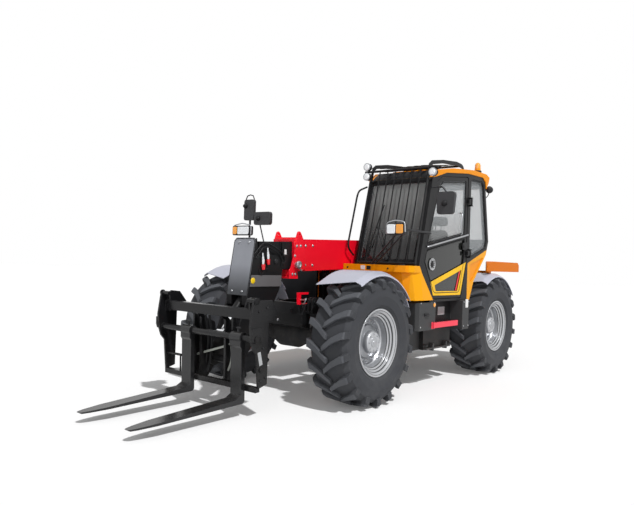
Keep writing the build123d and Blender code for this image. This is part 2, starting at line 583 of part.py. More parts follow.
with BuildPart() as engine_hood:
    front, rear = BAY_FRONT_X - 40, BAY_REAR_X
    panel([(-1100, 650), (-1100, 1450), (-308, 1450), (-308, 650)], rear, front, rounding=60)
    panel([(-1080, 640), (-1080, 1430), (-250, 1430), (-250, 640)], rear + 20, front - 20, Mode.SUBTRACT, 42)
    box(rear - 1, front + 1, -1101, -250, 600, 700, Mode.SUBTRACT)
    box(rear - 1, front + 1, -370, -307, 1380, 1451, Mode.SUBTRACT)
    box(rear, front, -372, -308, 1430, 1450)
    for z in range(900, 1201, 60):
        box(-1150, -650, -1101, -1079, z, z + 25, Mode.SUBTRACT)
    for z in range(1000, 1301, 60):
        box(front - 21, front + 1, -900, -500, z, z + 25, Mode.SUBTRACT)
    for x in HOOD_HINGES:
        bar((x - 25, *HOOD_AXIS), (x + 25, *HOOD_AXIS), HOOD_PIN_RADIUS + 9)
        box(x - 25, x + 25, -320, -290, 1430, 1450)
        bar((x - 26, *HOOD_AXIS), (x + 26, *HOOD_AXIS), HOOD_PIN_RADIUS + RUNNING_FIT, Mode.SUBTRACT)
save(engine_hood, "engine_hood")

LAMP_RADIUS = 44
POST_X = 366
POST_RADIUS = 13
with BuildPart() as lights:
    panel([(985, 1690), (985, 1810), (1190, 1810), (1190, 1690)], 385, 440, rounding=20)
    bent_bar([(-245, CAB_LEFT + SEAT_GAP, 1750), (-245, 1110, 1750), (390, 1140, 1750)], 12)
    bar((80, 575, 1394), (400, 1080, 1700), 10)
    bar((70, 620, 1394), (400, 1160, 1700), 10)
    box(56, 96, 560, 635, 1384 + SEAT_GAP, 1394)
    panel([(-1320, 1690), (-1320, 1810), (-1010, 1810), (-1010, 1690)], POST_X + POST_RADIUS + SEAT_GAP, 440,
          rounding=25)
    left_lamp_z = knee[1] - 14 - SEAT_GAP - LAMP_RADIUS
    for y, z in ((209, left_lamp_z), (209, knee[1] + 14 + SEAT_GAP + LAMP_RADIUS), (1092, left_lamp_z)):
        with BuildSketch(Plane.XZ.offset(-y)) as shell:
            with BuildLine():
                Polyline((-285, z), (-285, z + LAMP_RADIUS), (-335, z + LAMP_RADIUS), (-372, z + 20),
                         (-372, z), close=True)
            make_face()
        revolve(shell.sketch, Axis((0, y, z), (1, 0, 0)))
    beacon_z = height_at(ROOF_TOP, -1730) + SEAT_GAP
    with BuildSketch(Plane.XZ.offset(-960)) as dome:
        with BuildLine():
            Polyline((-1730, beacon_z), (-1680, beacon_z), (-1680, beacon_z + 40), (-1690, beacon_z + 44),
                     (-1694, beacon_z + 120), (-1712, beacon_z + 148), (-1730, beacon_z + 152), close=True)
        make_face()
    revolve(dome.sketch, Axis((-1730, 960, 0), (0, 0, 1)))
    for side in (-1, 1):
        box(REAR_END_X + 2, REAR_END_X + 30 - SEAT_GAP, *sorted((side * 642, side * 818)), 1060 + SEAT_GAP,
            1148)
save(lights, "lights")

with BuildPart() as mirrors:
    bent_bar([(-372, CAB_LEFT + SEAT_GAP, 2270), (-372, 1100, 2270), (-300, 1217, 2256), (-290, 1262, 2203),
              (-290, 1262, 2070)], 9)
    panel([(1172, 1955), (1165, 2200), (1385, 2200), (1365, 1955)], -305, -262, rounding=35)
    bent_bar([(BAY_FRONT_X + SEAT_GAP, -1085, 1385), (POST_X, -1085, 1385), (POST_X, -1085, 1900)],
             POST_RADIUS)
    bent_bar([(POST_X, -1165, 1960), (POST_X, -1165, 2150), (POST_X, -1145, 2188), (POST_X, -1095, 2200),
              (POST_X, -1045, 2188), (POST_X, -1025, 2150), (POST_X, -1025, 1960)], 7)
    panel([(-1180, 1880), (-1180, 2140), (-1010, 2140), (-1010, 1880)], POST_X - 20, POST_X + 20, rounding=30)
    bent_bar([(POST_X, -1085, 1450), (POST_X, -810, 1450), (POST_X, -810, 1550), (POST_X, -935, 1900)], 8)
    panel([(-1000, 1820), (-1000, 1980), (-720, 1980), (-720, 1820)], POST_X - 20, POST_X + 20, rounding=35)
save(mirrors, "mirrors")

# ---------------------------------------------------------------- boom
with BuildPart() as boom_outer:
    boom_section(0, BOOM_WIDTH, BOOM_HEIGHT, BOOM_FRONT)
    cross_bar(PIVOT_X, PIVOT_Z, -190, 190, BOOM_HEIGHT / 2 - 40)
    boom_section(100, BOOM_WIDTH - 2 * BOOM_WALL, BOOM_HEIGHT - 2 * BOOM_WALL, BOOM_FRONT, Mode.SUBTRACT)
    cross_bar(PIVOT_X, PIVOT_Z, -195, 195, PIVOT_PIN_RADIUS + RUNNING_FIT, Mode.SUBTRACT)
    boom_section(BOOM_FRONT - 120, BOOM_WIDTH - 2 * BOOM_WALL, BOOM_HEIGHT - 2 * BOOM_WALL, 120)
    boom_section(BOOM_FRONT - 120, INNER_WIDTH + 2 * PAD_CLEARANCE, INNER_HEIGHT + 2 * PAD_CLEARANCE, 120,
                 Mode.SUBTRACT)
    ears = [boom_point(1750, -BOOM_HEIGHT / 2 + 1), boom_point(2000, -BOOM_HEIGHT / 2 + 1)]
    plate_pair([(ears[0][0], ears[0][2]), (ears[1][0], ears[1][2]), (LIFT_EYE[0] + 60, LIFT_EYE[1] - 20),
                (LIFT_EYE[0] + 20, LIFT_EYE[1] - 55), (LIFT_EYE[0] - 20, LIFT_EYE[1] - 55),
                (LIFT_EYE[0] - 60, LIFT_EYE[1] - 20)], 70, 95)
    half = BOOM_WIDTH / 2
    plate_pair([(902, 1590), (910, 1471), (955, 1320), (983, 1289), (978, 1205), (843, 1205), (856, 1290),
                (725, 1302),
                (757, 1609)], half - 1, half + 12)
    plate_pair([(757, 1590), (890, 1590), (878, 1640), (858, 1694), (839, 1706), (820, 1694), (785, 1640)],
               half - 10, half + 12)
    cross_bar(839, 1668, -half - 13, half + 13, 13, Mode.SUBTRACT)
    box(848, 888, 1 - half, half - 1, 1612, 1640)
    box(850, 975, 1 - half, half - 1, 1205, 1225)
    box(868, 940, -100, 100, 1224, 1298)
save(boom_outer, "boom_outer")

with BuildPart() as boom_inner:
    boom_section(INNER_REAR, INNER_WIDTH, INNER_HEIGHT, INNER_FRONT - INNER_REAR)
    boom_section(INNER_REAR - 1, INNER_WIDTH - 2 * INNER_WALL, INNER_HEIGHT - 2 * INNER_WALL,
                 INNER_FRONT - INNER_REAR - 20, Mode.SUBTRACT)
    box(1110, 1420, -INNER_WIDTH, INNER_WIDTH, 1200, 1432, Mode.SUBTRACT)
    nose = [(1055, 1440), (1400, 1440), (1436, 1490), (1455, 1600), (1545, 1035), (1575, 930), (1765, 470),
            (1740, 370),
            (1690, 350), (1610, 370), (1245, 860), (1100, 1115)]
    plate_pair(nose, NOSE_HALF_WIDTH - NOSE_PLATE, NOSE_HALF_WIDTH)
    boom_section(NOSE_FLANGE, 2 * NOSE_HALF_WIDTH - 10, INNER_HEIGHT, 30)
    boom_section(NOSE_FLANGE - 1, INNER_WIDTH - 2 * INNER_WALL, INNER_HEIGHT - 2 * INNER_WALL, 32,
                 Mode.SUBTRACT)
    face = Plane(origin=(1470, 0, 1605), x_dir=(0, 1, 0), z_dir=(565, 0, 90))
    cover = [(-NOSE_HALF_WIDTH, 30), (-NOSE_HALF_WIDTH + 30, 0), (NOSE_HALF_WIDTH - 30, 0),
             (NOSE_HALF_WIDTH, 30),
             (NOSE_HALF_WIDTH, 575), (-NOSE_HALF_WIDTH, 575)]
    extrude(outline(face, [(across, -down) for across, down in cover]), amount=-15)
    for side in (-1, 1):
        box(1490, 1560, *sorted((side * 75, side * (NOSE_HALF_WIDTH - 5))), 945, 1040)
    slab([(1245, 860), (1100, 1115), (1115, 1122), (1258, 870)], -NOSE_HALF_WIDTH, NOSE_HALF_WIDTH)
    plate_pair([(1095, 1126), (1532, 1126), (1515, 1238), (1090, 1238)], NOSE_HALF_WIDTH - 1,
               NOSE_HALF_WIDTH + 6)
    cross_bar(*TILT_BASE, -NOSE_HALF_WIDTH, NOSE_HALF_WIDTH, 25)
    cross_bar(*CARRIAGE_PIN, -NOSE_HALF_WIDTH - 45, NOSE_HALF_WIDTH + 45, 35)
save(boom_inner, "boom_inner")


def make_cylinder(name, base, eye, bore, rod_radius, closed_share):
    """A hydraulic cylinder between two pins, as a barrel and a rod."""
    length = hypot(eye[0] - base[0], eye[1] - base[1])
    direction = ((eye[0] - base[0]) / length, 0, (eye[1] - base[1]) / length)

    def at(distance):
        return (base[0] + direction[0] * distance, 0, base[1] + direction[2] * distance)

    mouth = length * closed_share
    pin = 30 if bore > 50 else 25
    with BuildPart() as barrel:
        bar(at(bore * 0.5), at(mouth), bore)
        cross_bar(*base, -50, 50, bore * 0.85)
        bar(at(bore * 1.3), at(mouth + 1), rod_radius + RUNNING_FIT, Mode.SUBTRACT)
        cross_bar(*base, -55, 55, pin + RUNNING_FIT, Mode.SUBTRACT)
    save(barrel, f"{name}_barrel")
    with BuildPart() as rod:
        bar(at(bore * 1.3 + 60), at(length), rod_radius)
        cross_bar(*eye, -50, 50, bore * 0.8)
    save(rod, f"{name}_rod")


make_cylinder("lift_cylinder", LIFT_BASE, LIFT_EYE, CYLINDER_BORE, 38, 0.86)
make_cylinder("tilt_cylinder", TILT_BASE, TILT_EYE, TILT_BORE, 25, 0.78)

# ---------------------------------------------------------------- carriage and forks
SIDE_PLATE_OUTLINE = [
    (185, -154), (206, 137), (249, 188), (272, 259), (287, 400), (250, 609), (190, 612), (20, 606),
    (-51, 489),
    (-15, 440), (61, 412), (79, -128),
]
EAR_OUTLINE = [(-75, -30), (-75, 60), (-30, 340), (60, 380), (130, 440), (130, 530), (199, 530), (199, 445),
               (140, 400),
               (140, -140), (199, -145), (199, -190), (60, -190)]
with BuildPart() as carriage:
    plate_pair(SIDE_PLATE_OUTLINE, CARRIAGE_HALF_WIDTH - SIDE_PLATE, CARRIAGE_HALF_WIDTH, CARRIAGE_SIDE)
    plate_pair(EAR_OUTLINE, 160, 185, CARRIAGE_SIDE)
    inner_width = CARRIAGE_HALF_WIDTH - SIDE_PLATE
    slab([(130, 440), (199, 440), (199, 530), (130, 530)], -inner_width, inner_width, side=CARRIAGE_SIDE)
    slab([(150, -190), (199.5, -190), (199.5, -145), (150, -145)], -inner_width, inner_width,
         side=CARRIAGE_SIDE)
    bar(carriage_point(*SHAFT_AT, -inner_width - 1), carriage_point(*SHAFT_AT, inner_width + 1), SHAFT_RADIUS)
    plate_pair([(195, 446), (214, 590), (214, 620), (190, 635), (92, 622), (11, 520), (11, 495), (26, 441)],
               555, 575,
               CARRIAGE_SIDE)
    plate_pair([(120, 430), (199, 430), (199, 470), (120, 470)], 570, inner_width + 1, CARRIAGE_SIDE)
    plate_pair([(60, -190), (60, 470), (131, 500), (140, 440), (140, -146), (160, -146), (160, -190)], 262,
               282,
               CARRIAGE_SIDE)
    for side in (-1, 1):
        across = [side * 556, side * (CARRIAGE_HALF_WIDTH - 1)]
        bar(carriage_point(220, 607, across[0]), carriage_point(220, 607, across[1]), 20)
        lug_low, lug_high = sorted((side * (CARRIAGE_HALF_WIDTH - 1), side * (CARRIAGE_HALF_WIDTH + 22)))
        slab([(150, 262), (272, 262), (284, 300), (284, 372), (160, 372)], lug_low, lug_high,
             side=CARRIAGE_SIDE)
    bar(carriage_point(165, 5, -inner_width - 1), carriage_point(165, 5, -420), 12)
    bar(carriage_point(165, 5, -440), carriage_point(165, -150, -440), 8)
    bar(carriage_point(0, 0, -190), carriage_point(0, 0, 190), 35 + RUNNING_FIT, Mode.SUBTRACT)
save(carriage, "carriage")

for fork_name, fork_y in FORKS.items():
    with BuildPart() as fork:
        y_low = fork_y - FORK_WIDTH / 2
        y_high = fork_y + FORK_WIDTH / 2
        back = FORK_FRONT - FORK_THICKNESS
        slab([(back + 0.5, FORK_UNDERSIDE + 20), (back + 20, FORK_UNDERSIDE), (FORK_TIP - 20, FORK_UNDERSIDE),
              (FORK_TIP, FORK_UNDERSIDE + 12), (FORK_FRONT + 60, FORK_UNDERSIDE + FORK_THICKNESS),
              (FORK_FRONT, FORK_UNDERSIDE + FORK_THICKNESS + 30), (FORK_FRONT, 185), (FORK_FRONT + 16, 208),
              (FORK_FRONT + 16, 248), (FORK_FRONT - 5, 268), (back + 0.5, 268)],
             y_low, y_high, side=CARRIAGE_SIDE)
        tip_x = carriage_point(FORK_TIP, FORK_UNDERSIDE)[0]
        for side, edge in ((-1, y_low), (1, y_high)):
            tray([(tip_x - 240, edge + side * 2), (tip_x - 240, edge), (tip_x - 80, edge - side * 20),
                  (tip_x - 20, edge - side * 36), (tip_x + 2, edge - side * 58),
                  (tip_x + 2, edge + side * 2)],
                 50, 250, Mode.SUBTRACT)
        bar(carriage_point(*SHAFT_AT, y_low), carriage_point(*SHAFT_AT, y_high), SHAFT_RADIUS + 18)
        bar(carriage_point(*SHAFT_AT, y_low - 1), carriage_point(*SHAFT_AT, y_high + 1),
            SHAFT_RADIUS + 0.5, Mode.SUBTRACT)
    save(fork, fork_name)
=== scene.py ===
import math

import bpy
import numpy as np
from mathutils import Matrix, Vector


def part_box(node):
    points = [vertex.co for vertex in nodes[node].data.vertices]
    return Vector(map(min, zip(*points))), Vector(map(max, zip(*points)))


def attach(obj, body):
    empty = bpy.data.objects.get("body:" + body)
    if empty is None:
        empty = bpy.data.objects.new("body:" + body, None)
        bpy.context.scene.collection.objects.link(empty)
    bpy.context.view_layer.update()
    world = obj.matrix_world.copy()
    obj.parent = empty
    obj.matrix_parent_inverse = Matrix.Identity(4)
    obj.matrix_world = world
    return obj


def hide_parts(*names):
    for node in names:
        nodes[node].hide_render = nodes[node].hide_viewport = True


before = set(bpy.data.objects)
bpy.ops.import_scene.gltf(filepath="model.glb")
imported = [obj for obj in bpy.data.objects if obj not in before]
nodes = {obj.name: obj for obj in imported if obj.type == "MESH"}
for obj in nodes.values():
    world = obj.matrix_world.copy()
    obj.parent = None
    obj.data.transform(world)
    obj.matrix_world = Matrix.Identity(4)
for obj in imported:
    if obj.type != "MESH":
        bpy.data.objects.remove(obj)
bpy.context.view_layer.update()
print("frame loaded:", len(nodes), "nodes")

# camera and light
viewpoint = {"place": (5.571, 4.306, 1.382), "heading": -2.45244, "rise": 0.01691, "roll": 0.03524, "lens": 33.82}
daylight = {
    "sky": 0.23, "sun": 2.7, "sunAngle": 2.0, "sunFrom": (0.25, 0.62, 1.0),
    "fill": 0.75, "fillAngle": 60, "fillFrom": (1.0, 0.5, 0.35), "height": 6}


# Puts an object in the scene with its three axes and its place as the columns of its matrix.
def placeObject(name, content, axes=np.eye(3), place=(0, 0, 0)):
    made = bpy.data.objects.new(name, content)
    made.matrix_world = Matrix([*np.column_stack([*axes, place]).tolist(), [0, 0, 0, 1]])
    bpy.context.scene.collection.objects.link(made)
    return made


# Looks along a heading and a rise, turned by a roll about that line.
def addCamera(settings):
    heading, rise, roll = settings["heading"], settings["rise"], settings["roll"]
    forward = np.array([math.cos(rise) * math.cos(heading), math.cos(rise) * math.sin(heading), math.sin(rise)])
    side = np.cross(forward, (0, 0, 1))
    side /= np.linalg.norm(side)
    upward = np.cross(side, forward)
    right = math.cos(roll) * side + math.sin(roll) * upward
    top = -math.sin(roll) * side + math.cos(roll) * upward
    lens = bpy.data.cameras.new("camera")
    lens.lens = settings["lens"]
    lens.clip_end = 200
    bpy.context.scene.camera = placeObject("camera", lens, [right, top, -forward], settings["place"])


# A lamp far away that shines from one direction, over a cone of so many degrees.
def aimedSun(name, source, strength, angle, height):
    lamp = bpy.data.lights.new(name, "SUN")
    lamp.energy = strength
    lamp.angle = math.radians(angle)
    back = np.array(source) / np.linalg.norm(source)
    side = np.cross((0, 0, 1), back)
    side /= np.linalg.norm(side)
    placeObject(name, lamp, [side, np.cross(back, side), back], (0, 0, height))


# Joins a socket to another node's output, or sets its plain value.
def feed(tree, socket, source):
    if hasattr(source, "node"):
        tree.links.new(source, socket)
    else:
        socket.default_value = (*source, 1) if socket.type == "RGBA" else source


# Adds a node, sets its plain values and joins its sockets.
def wire(tree, kind, links=(), **values):
    node = tree.nodes.new("ShaderNode" + kind)
    for label, value in values.items():
        setattr(node, label, value)
    for socket, source in dict(links).items():
        feed(tree, node.inputs[socket], source)
    return node


# Arithmetic on outputs and numbers, such as a product or a maximum.
def calc(tree, operation, *terms, **values):
    return wire(tree, "Math", dict(enumerate(terms)), operation=operation, **values).outputs[0]


# The same for places and directions.
def calcVector(tree, operation, *terms):
    return wire(tree, "VectorMath", dict(enumerate(terms)), operation=operation).outputs


# Rises from 0 to 1 while a value goes from one limit to another.
def ramp(tree, value, start, end):
    return wire(tree, "MapRange", {"Value": value, "From Min": start, "From Max": end}).outputs[0]


# A cloud pattern of one size, with so many finer layers.
def noise(tree, place, scale, detail):
    return wire(tree, "TexNoise", {"Vector": place, "Scale": scale, "Detail": detail}).outputs["Fac"]


# A colour between two by a share, or their product.
def blend(tree, share, first, second, kind="MIX"):
    links = {0: share, 6: first, 7: second}
    return wire(tree, "Mix", links, data_type="RGBA", blend_type=kind).outputs[2]


# 1 for what the camera sees, straight, in a mirror or through glass, and 0 for light that falls on surfaces.
def seenByCamera(tree):
    rays = wire(tree, "LightPath").outputs
    mirrored = calc(tree, "MAXIMUM", rays["Is Camera Ray"], rays["Is Glossy Ray"])
    return calc(tree, "MAXIMUM", mirrored, rays["Is Transmission Ray"])


# A sun, a wide fill lamp and a sky that is white to the eye and dimmer as light.
def lightScene(settings):
    aimedSun("sun", settings["sunFrom"], settings["sun"], settings["sunAngle"], settings["height"])
    aimedSun("fill", settings["fillFrom"], settings["fill"], settings["fillAngle"], settings["height"])
    world = bpy.data.worlds.new("sky")
    bpy.context.scene.world = world
    world.use_nodes = True
    tree = world.node_tree
    ground = tree.nodes["Background"].inputs
    feed(tree, ground["Color"], (1, 1, 1))
    level = wire(tree, "MapRange", {"Value": seenByCamera(tree), "To Min": settings["sky"], "To Max": 1.0})
    feed(tree, ground["Strength"], level.outputs[0])
    bpy.context.scene.view_settings.view_transform = "Standard"


addCamera(viewpoint)
lightScene(daylight)
print("camera and light placed")

# shared effects: each is a group that puts out masks, shades or normals
sharpEdge = 0.0002  # how far a region's edge takes to go from nothing to all


# A shader group that is given places and numbers, and puts out numbers or a normal. An input without a value of
# its own is a vector. Both ends come back as sockets.
def newGroup(name, inputs, *outputs):
    group = bpy.data.node_groups.new(name, "ShaderNodeTree")
    kinds = {True: "NodeSocketVector", False: "NodeSocketFloat"}
    for label, value in {"Vector": None, **inputs}.items():
        socket = group.interface.new_socket(label, in_out="INPUT", socket_type=kinds[value is None])
        if value is not None:
            socket.default_value = value
    for label in outputs:
        group.interface.new_socket(label, in_out="OUTPUT", socket_type=kinds[label == "Normal"])
    return group, group.nodes.new("NodeGroupInput").outputs, group.nodes.new("NodeGroupOutput").inputs


# Uneven shade and fine grain: two noises, one broad and one fine.
def makeMottle():
    group, given, made = newGroup("mottle", {"Broad": 3.0, "Fine": 160.0}, "Shade", "Grain")
    feed(group, made["Shade"], noise(group, given["Vector"], given["Broad"], 5.0))
    feed(group, made["Grain"], noise(group, given["Vector"], given["Fine"], 3.0))
    return group


# A film of dust: more on faces that look up and near the ground, broken by noise.
def makeDust():
    group, given, made = newGroup("dust", {"Top": 0.3, "Low": 0.3}, "Mask")
    normal = wire(group, "SeparateXYZ", {0: wire(group, "NewGeometry").outputs["Normal"]}).outputs
    place = wire(group, "SeparateXYZ", {0: given["Vector"]}).outputs
    level = calc(group, "MULTIPLY", ramp(group, normal["Z"], 0.55, 1.0), given["Top"])
    both = calc(group, "MULTIPLY_ADD", ramp(group, place["Z"], 0.95, 0.15), given["Low"], level)
    patches = ramp(group, noise(group, given["Vector"], 9.0, 8.0), 0.32, 0.72)
    feed(group, made["Mask"], calc(group, "MULTIPLY", both, patches, use_clamp=True))
    return group


# Worn edges with a painted highlight: where a rounded normal leaves the flat one, broken by noise. The lighter
# edge colour stands for both wear and light catching the edge.
def makeWornAndLitEdge():
    group, given, made = newGroup("wornAndLitEdge", {"Reach": 0.006}, "Mask", "Normal")
    soft = wire(group, "Bevel", {"Radius": given["Reach"]}, samples=4).outputs["Normal"]
    flat = wire(group, "NewGeometry").outputs["Normal"]
    edge = ramp(group, calcVector(group, "DOT_PRODUCT", soft, flat)["Value"], 0.97, 0.85)
    patches = ramp(group, noise(group, given["Vector"], 35.0, 6.0), 0.4, 0.62)
    feed(group, made["Mask"], calc(group, "MULTIPLY", edge, patches, use_clamp=True))
    feed(group, made["Normal"], soft)
    return group


# One side of a plane: rises from 0 to 1 over a soft width once a point's share along a direction passes an offset.
def makeHalf():
    group, given, made = newGroup(
        "side", {"Direction": None, "Offset": 0.0, "Soft": sharpEdge, "Mask": 1.0}, "Mask")
    along = calcVector(group, "DOT_PRODUCT", given["Vector"], given["Direction"])["Value"]
    end = calc(group, "ADD", given["Offset"], given["Soft"])
    past = ramp(group, along, given["Offset"], end)
    feed(group, made["Mask"], calc(group, "MULTIPLY", past, given["Mask"]))
    return group


# Between two radii from a line through a centre: Across has 1 for each axis that the distance counts.
def makeRing():
    group, given, made = newGroup(
        "ring", {"Centre": None, "Across": None, "Inner": 0.0, "Outer": 1.0, "Mask": 1.0}, "Mask")
    away = calcVector(group, "SUBTRACT", given["Vector"], given["Centre"])[0]
    flat = calcVector(group, "MULTIPLY", away, given["Across"])[0]
    size = calcVector(group, "LENGTH", flat)["Value"]
    more = calc(group, "GREATER_THAN", size, given["Inner"])
    less = calc(group, "LESS_THAN", size, given["Outer"])
    both = calc(group, "MULTIPLY", more, less)
    feed(group, made["Mask"], calc(group, "MULTIPLY", both, given["Mask"]))
    return group


effects = {"mottle": makeMottle(), "dust": makeDust(), "wornAndLitEdge": makeWornAndLitEdge(), "side": makeHalf(), "ring": makeRing()}


# Places a shared effect in a material.
def effect(tree, name, place, **links):
    return wire(tree, "Group", {"Vector": place, **links}, node_tree=effects[name]).outputs


# Where all of a region's planes and rings hold. A plane's fifth number is the width of its soft edge.
def regionMask(tree, place, region):
    mask = 1.0
    for x, y, z, offset, *soft in region.get("sides", ()):
        mask = effect(tree, "side", place, Direction=(x, y, z), Offset=offset,
                      Soft=soft[0] if soft else sharpEdge, Mask=mask)[0]
    for centre, across, inner, outer in region.get("rings", ()):
        mask = effect(tree, "ring", place, Centre=centre, Across=across, Inner=inner, Outer=outer, Mask=mask)[0]
    return mask


# What a finish has where its own settings don't say.
plainLook = {
    "rough": 0.4, "roughSpread": 0.12, "alpha": 1.0, "metal": 0.0, "coat": 0.0, "coatRough": 0.12,
    "specular": 0.5, "shade": 0.1, "broad": 2.5, "fine": 180.0, "bump": 0.15, "depth": 0.0008, "edge": 0.0,
    "reach": 0.005, "edgeColour": (0.3, 0.3, 0.3), "dust": (0.0, 0.0), "dustColour": (0.28, 0.25, 0.21),
    "regions": ()}


# A material whose own shader takes its sockets from what a recipe makes in its tree.
def newMaterial(name, recipe):
    made = bpy.data.materials.new(name)
    made.use_nodes = True
    tree = made.node_tree
    for socket, source in recipe(tree).items():
        feed(tree, tree.nodes["Principled BSDF"].inputs[socket], source)
    return made


# A finish from its settings: colour, roughness, see-through share, metal, coat, mottling, dust, worn edges with
# a painted highlight, and regions that change the first three.
def paintwork(tree, look):
    place = wire(tree, "TexCoord").outputs["Object"]
    mottle = effect(tree, "mottle", place, Broad=look["broad"], Fine=look["fine"])
    colour, rough, alpha = look["colour"], look["rough"], look["alpha"]
    for region in look["regions"]:
        mask = regionMask(tree, place, region)
        colour = blend(tree, mask, colour, region["colour"])
        if "rough" in region:
            rough = wire(tree, "Mix", {0: mask, 2: rough, 3: region["rough"]}).outputs[0]
        if "alpha" in region:
            alpha = wire(tree, "Mix", {0: mask, 2: alpha, 3: region["alpha"]}).outputs[0]
    tint = blend(tree, mottle["Shade"], (1 - look["shade"],) * 3, (1 + look["shade"],) * 3)
    colour = blend(tree, 1, colour, tint, "MULTIPLY")
    bump = wire(tree, "Bump", {"Strength": look["bump"], "Distance": look["depth"], "Height": mottle["Grain"]})
    # edges take a lighter tint that is wear and painted highlight together
    if look["edge"]:
        wornAndLitEdge = effect(tree, "wornAndLitEdge", place, Reach=look["reach"])
        wornAndLitShare = calc(tree, "MULTIPLY", wornAndLitEdge["Mask"], look["edge"])
        colour = blend(tree, wornAndLitShare, colour, look["edgeColour"])
        feed(tree, bump.inputs["Normal"], wornAndLitEdge["Normal"])
    top, low = look["dust"]
    if top or low:
        film = effect(tree, "dust", place, Top=top, Low=low)
        colour = blend(tree, film["Mask"], colour, look["dustColour"])
    uneven = calc(tree, "MULTIPLY_ADD", mottle["Shade"], look["roughSpread"], rough)
    steady = calc(tree, "SUBTRACT", uneven, look["roughSpread"] / 2)
    return {
        "Base Color": colour, "Roughness": steady, "Metallic": look["metal"], "Alpha": alpha,
        "Coat Weight": look["coat"], "Coat Roughness": look["coatRough"],
        "Specular IOR Level": look["specular"], "Normal": bump.outputs[0]}


# A material from the plain look and its changes.
def material(name, changes):
    return newMaterial(name, lambda tree: paintwork(tree, {**plainLook, **changes}))


# each edgeColour is a lighter tint of its paint, painted on edges as both wear and highlight
paints = {
    "red": {"colour": (0.94, 0.004, 0.022), "rough": 0.36, "coat": 0.12, "shade": 0.06, "edge": 0.35,
        "edgeColour": (0.95, 0.25, 0.25), "dust": (0.06, 0.0), "bump": 0.05, "specular": 0.3},
    "orange": {"colour": (0.85, 0.285, 0.0005), "rough": 0.42, "coat": 0.04, "shade": 0.05, "edge": 0.4,
        "edgeColour": (1.0, 0.55, 0.1), "dust": (0.01, 0.03), "bump": 0.05, "specular": 0.12},
    "black": {"colour": (0.01, 0.01, 0.011), "rough": 0.38, "shade": 0.25, "edge": 0.5,
        "edgeColour": (0.12, 0.12, 0.13), "dust": (0.05, 0.08), "bump": 0.12, "specular": 0.16},
    "grey": {"colour": (0.04, 0.041, 0.043), "rough": 0.5, "shade": 0.15, "edge": 0.5,
        "edgeColour": (0.16, 0.16, 0.17), "dust": (0.12, 0.12), "bump": 0.15, "specular": 0.2},
    "silver": {"colour": (0.56, 0.57, 0.64), "rough": 0.42, "metal": 0.15, "shade": 0.06, "edge": 0.3,
        "edgeColour": (0.85, 0.85, 0.9), "dust": (0.05, 0.1), "bump": 0.08},
    "cast": {"colour": (0.02, 0.02, 0.022), "rough": 0.65, "shade": 0.3, "edge": 0.5,
        "edgeColour": (0.13, 0.13, 0.13), "dust": (0.12, 0.2), "bump": 0.5, "fine": 90.0, "specular": 0.2},
    "chrome": {"colour": (0.75, 0.76, 0.78), "rough": 0.16, "metal": 1.0, "shade": 0.05, "bump": 0.02},
    "steel": {"colour": (0.42, 0.43, 0.45), "rough": 0.35, "metal": 0.8, "shade": 0.15, "edge": 0.3,
        "edgeColour": (0.8, 0.8, 0.82)},
    "rubber": {"colour": (0.044, 0.046, 0.052), "rough": 0.72, "shade": 0.16, "bump": 0.35, "fine": 120.0,
        "dust": (0.1, 0.25), "dustColour": (0.13, 0.13, 0.13), "specular": 0.22, "edge": 0.5,
        "edgeColour": (0.15, 0.155, 0.17), "reach": 0.007},
    "plastic": {"colour": (0.022, 0.022, 0.024), "rough": 0.5, "specular": 0.2, "shade": 0.15, "edge": 0.3,
        "edgeColour": (0.1, 0.1, 0.1), "bump": 0.3, "fine": 260.0},
    "windscreen": {"colour": (0.17, 0.176, 0.174), "rough": 0.08, "roughSpread": 0.02, "alpha": 0.86,
        "shade": 0.05, "bump": 0.0},
    "sideGlass": {"colour": (0.5, 0.53, 0.55), "rough": 0.06, "roughSpread": 0.02, "alpha": 0.34, "shade": 0.02,
        "bump": 0.0},
    "lens": {"colour": (0.8, 0.82, 0.84), "rough": 0.12, "metal": 0.5, "coat": 1.0, "shade": 0.25,
        "broad": 40.0, "bump": 0.4, "fine": 90.0},
    "amber": {"colour": (0.95, 0.36, 0.008), "rough": 0.15, "coat": 1.0, "shade": 0.15, "broad": 30.0,
        "bump": 0.3, "fine": 90.0},
    "yellow": {"colour": (0.93, 0.62, 0.01), "rough": 0.3, "coat": 0.6, "shade": 0.05},
    "stripe": {"colour": (0.8, 0.012, 0.02), "rough": 0.35, "coat": 0.4, "shade": 0.05},
    "label": {"colour": (0.42, 0.43, 0.44), "rough": 0.45, "shade": 0.15, "broad": 25.0},
    "paper": {"colour": (0.78, 0.78, 0.78), "rough": 0.5, "shade": 0.04},
    "hose": {"colour": (0.012, 0.012, 0.013), "rough": 0.5, "specular": 0.2, "shade": 0.2, "bump": 0.4,
        "fine": 300.0},
    "pale": {"colour": (0.4, 0.42, 0.38), "rough": 0.5, "shade": 0.15, "bump": 0.2},
    "mirrorFace": {"colour": (0.85, 0.87, 0.88), "rough": 0.05, "roughSpread": 0.01, "metal": 1.0, "shade": 0.02,
        "bump": 0.0},
    "cloth": {"colour": (0.022, 0.022, 0.025), "rough": 0.9, "shade": 0.25, "bump": 0.8, "fine": 700.0,
        "depth": 0.0006, "specular": 0.2},
}
amberPaint, orangePaint, redPaint, glassPaint = (
    paints[name]["colour"] for name in ("amber", "orange", "red", "sideGlass"))
highlightOrangePaint = (0.86, 0.36, 0.002)  # painted highlight: the lighter tone on raised edges and on the door's frame line, where the light falls
corners = ("front_left", "front_right", "rear_left", "rear_right")
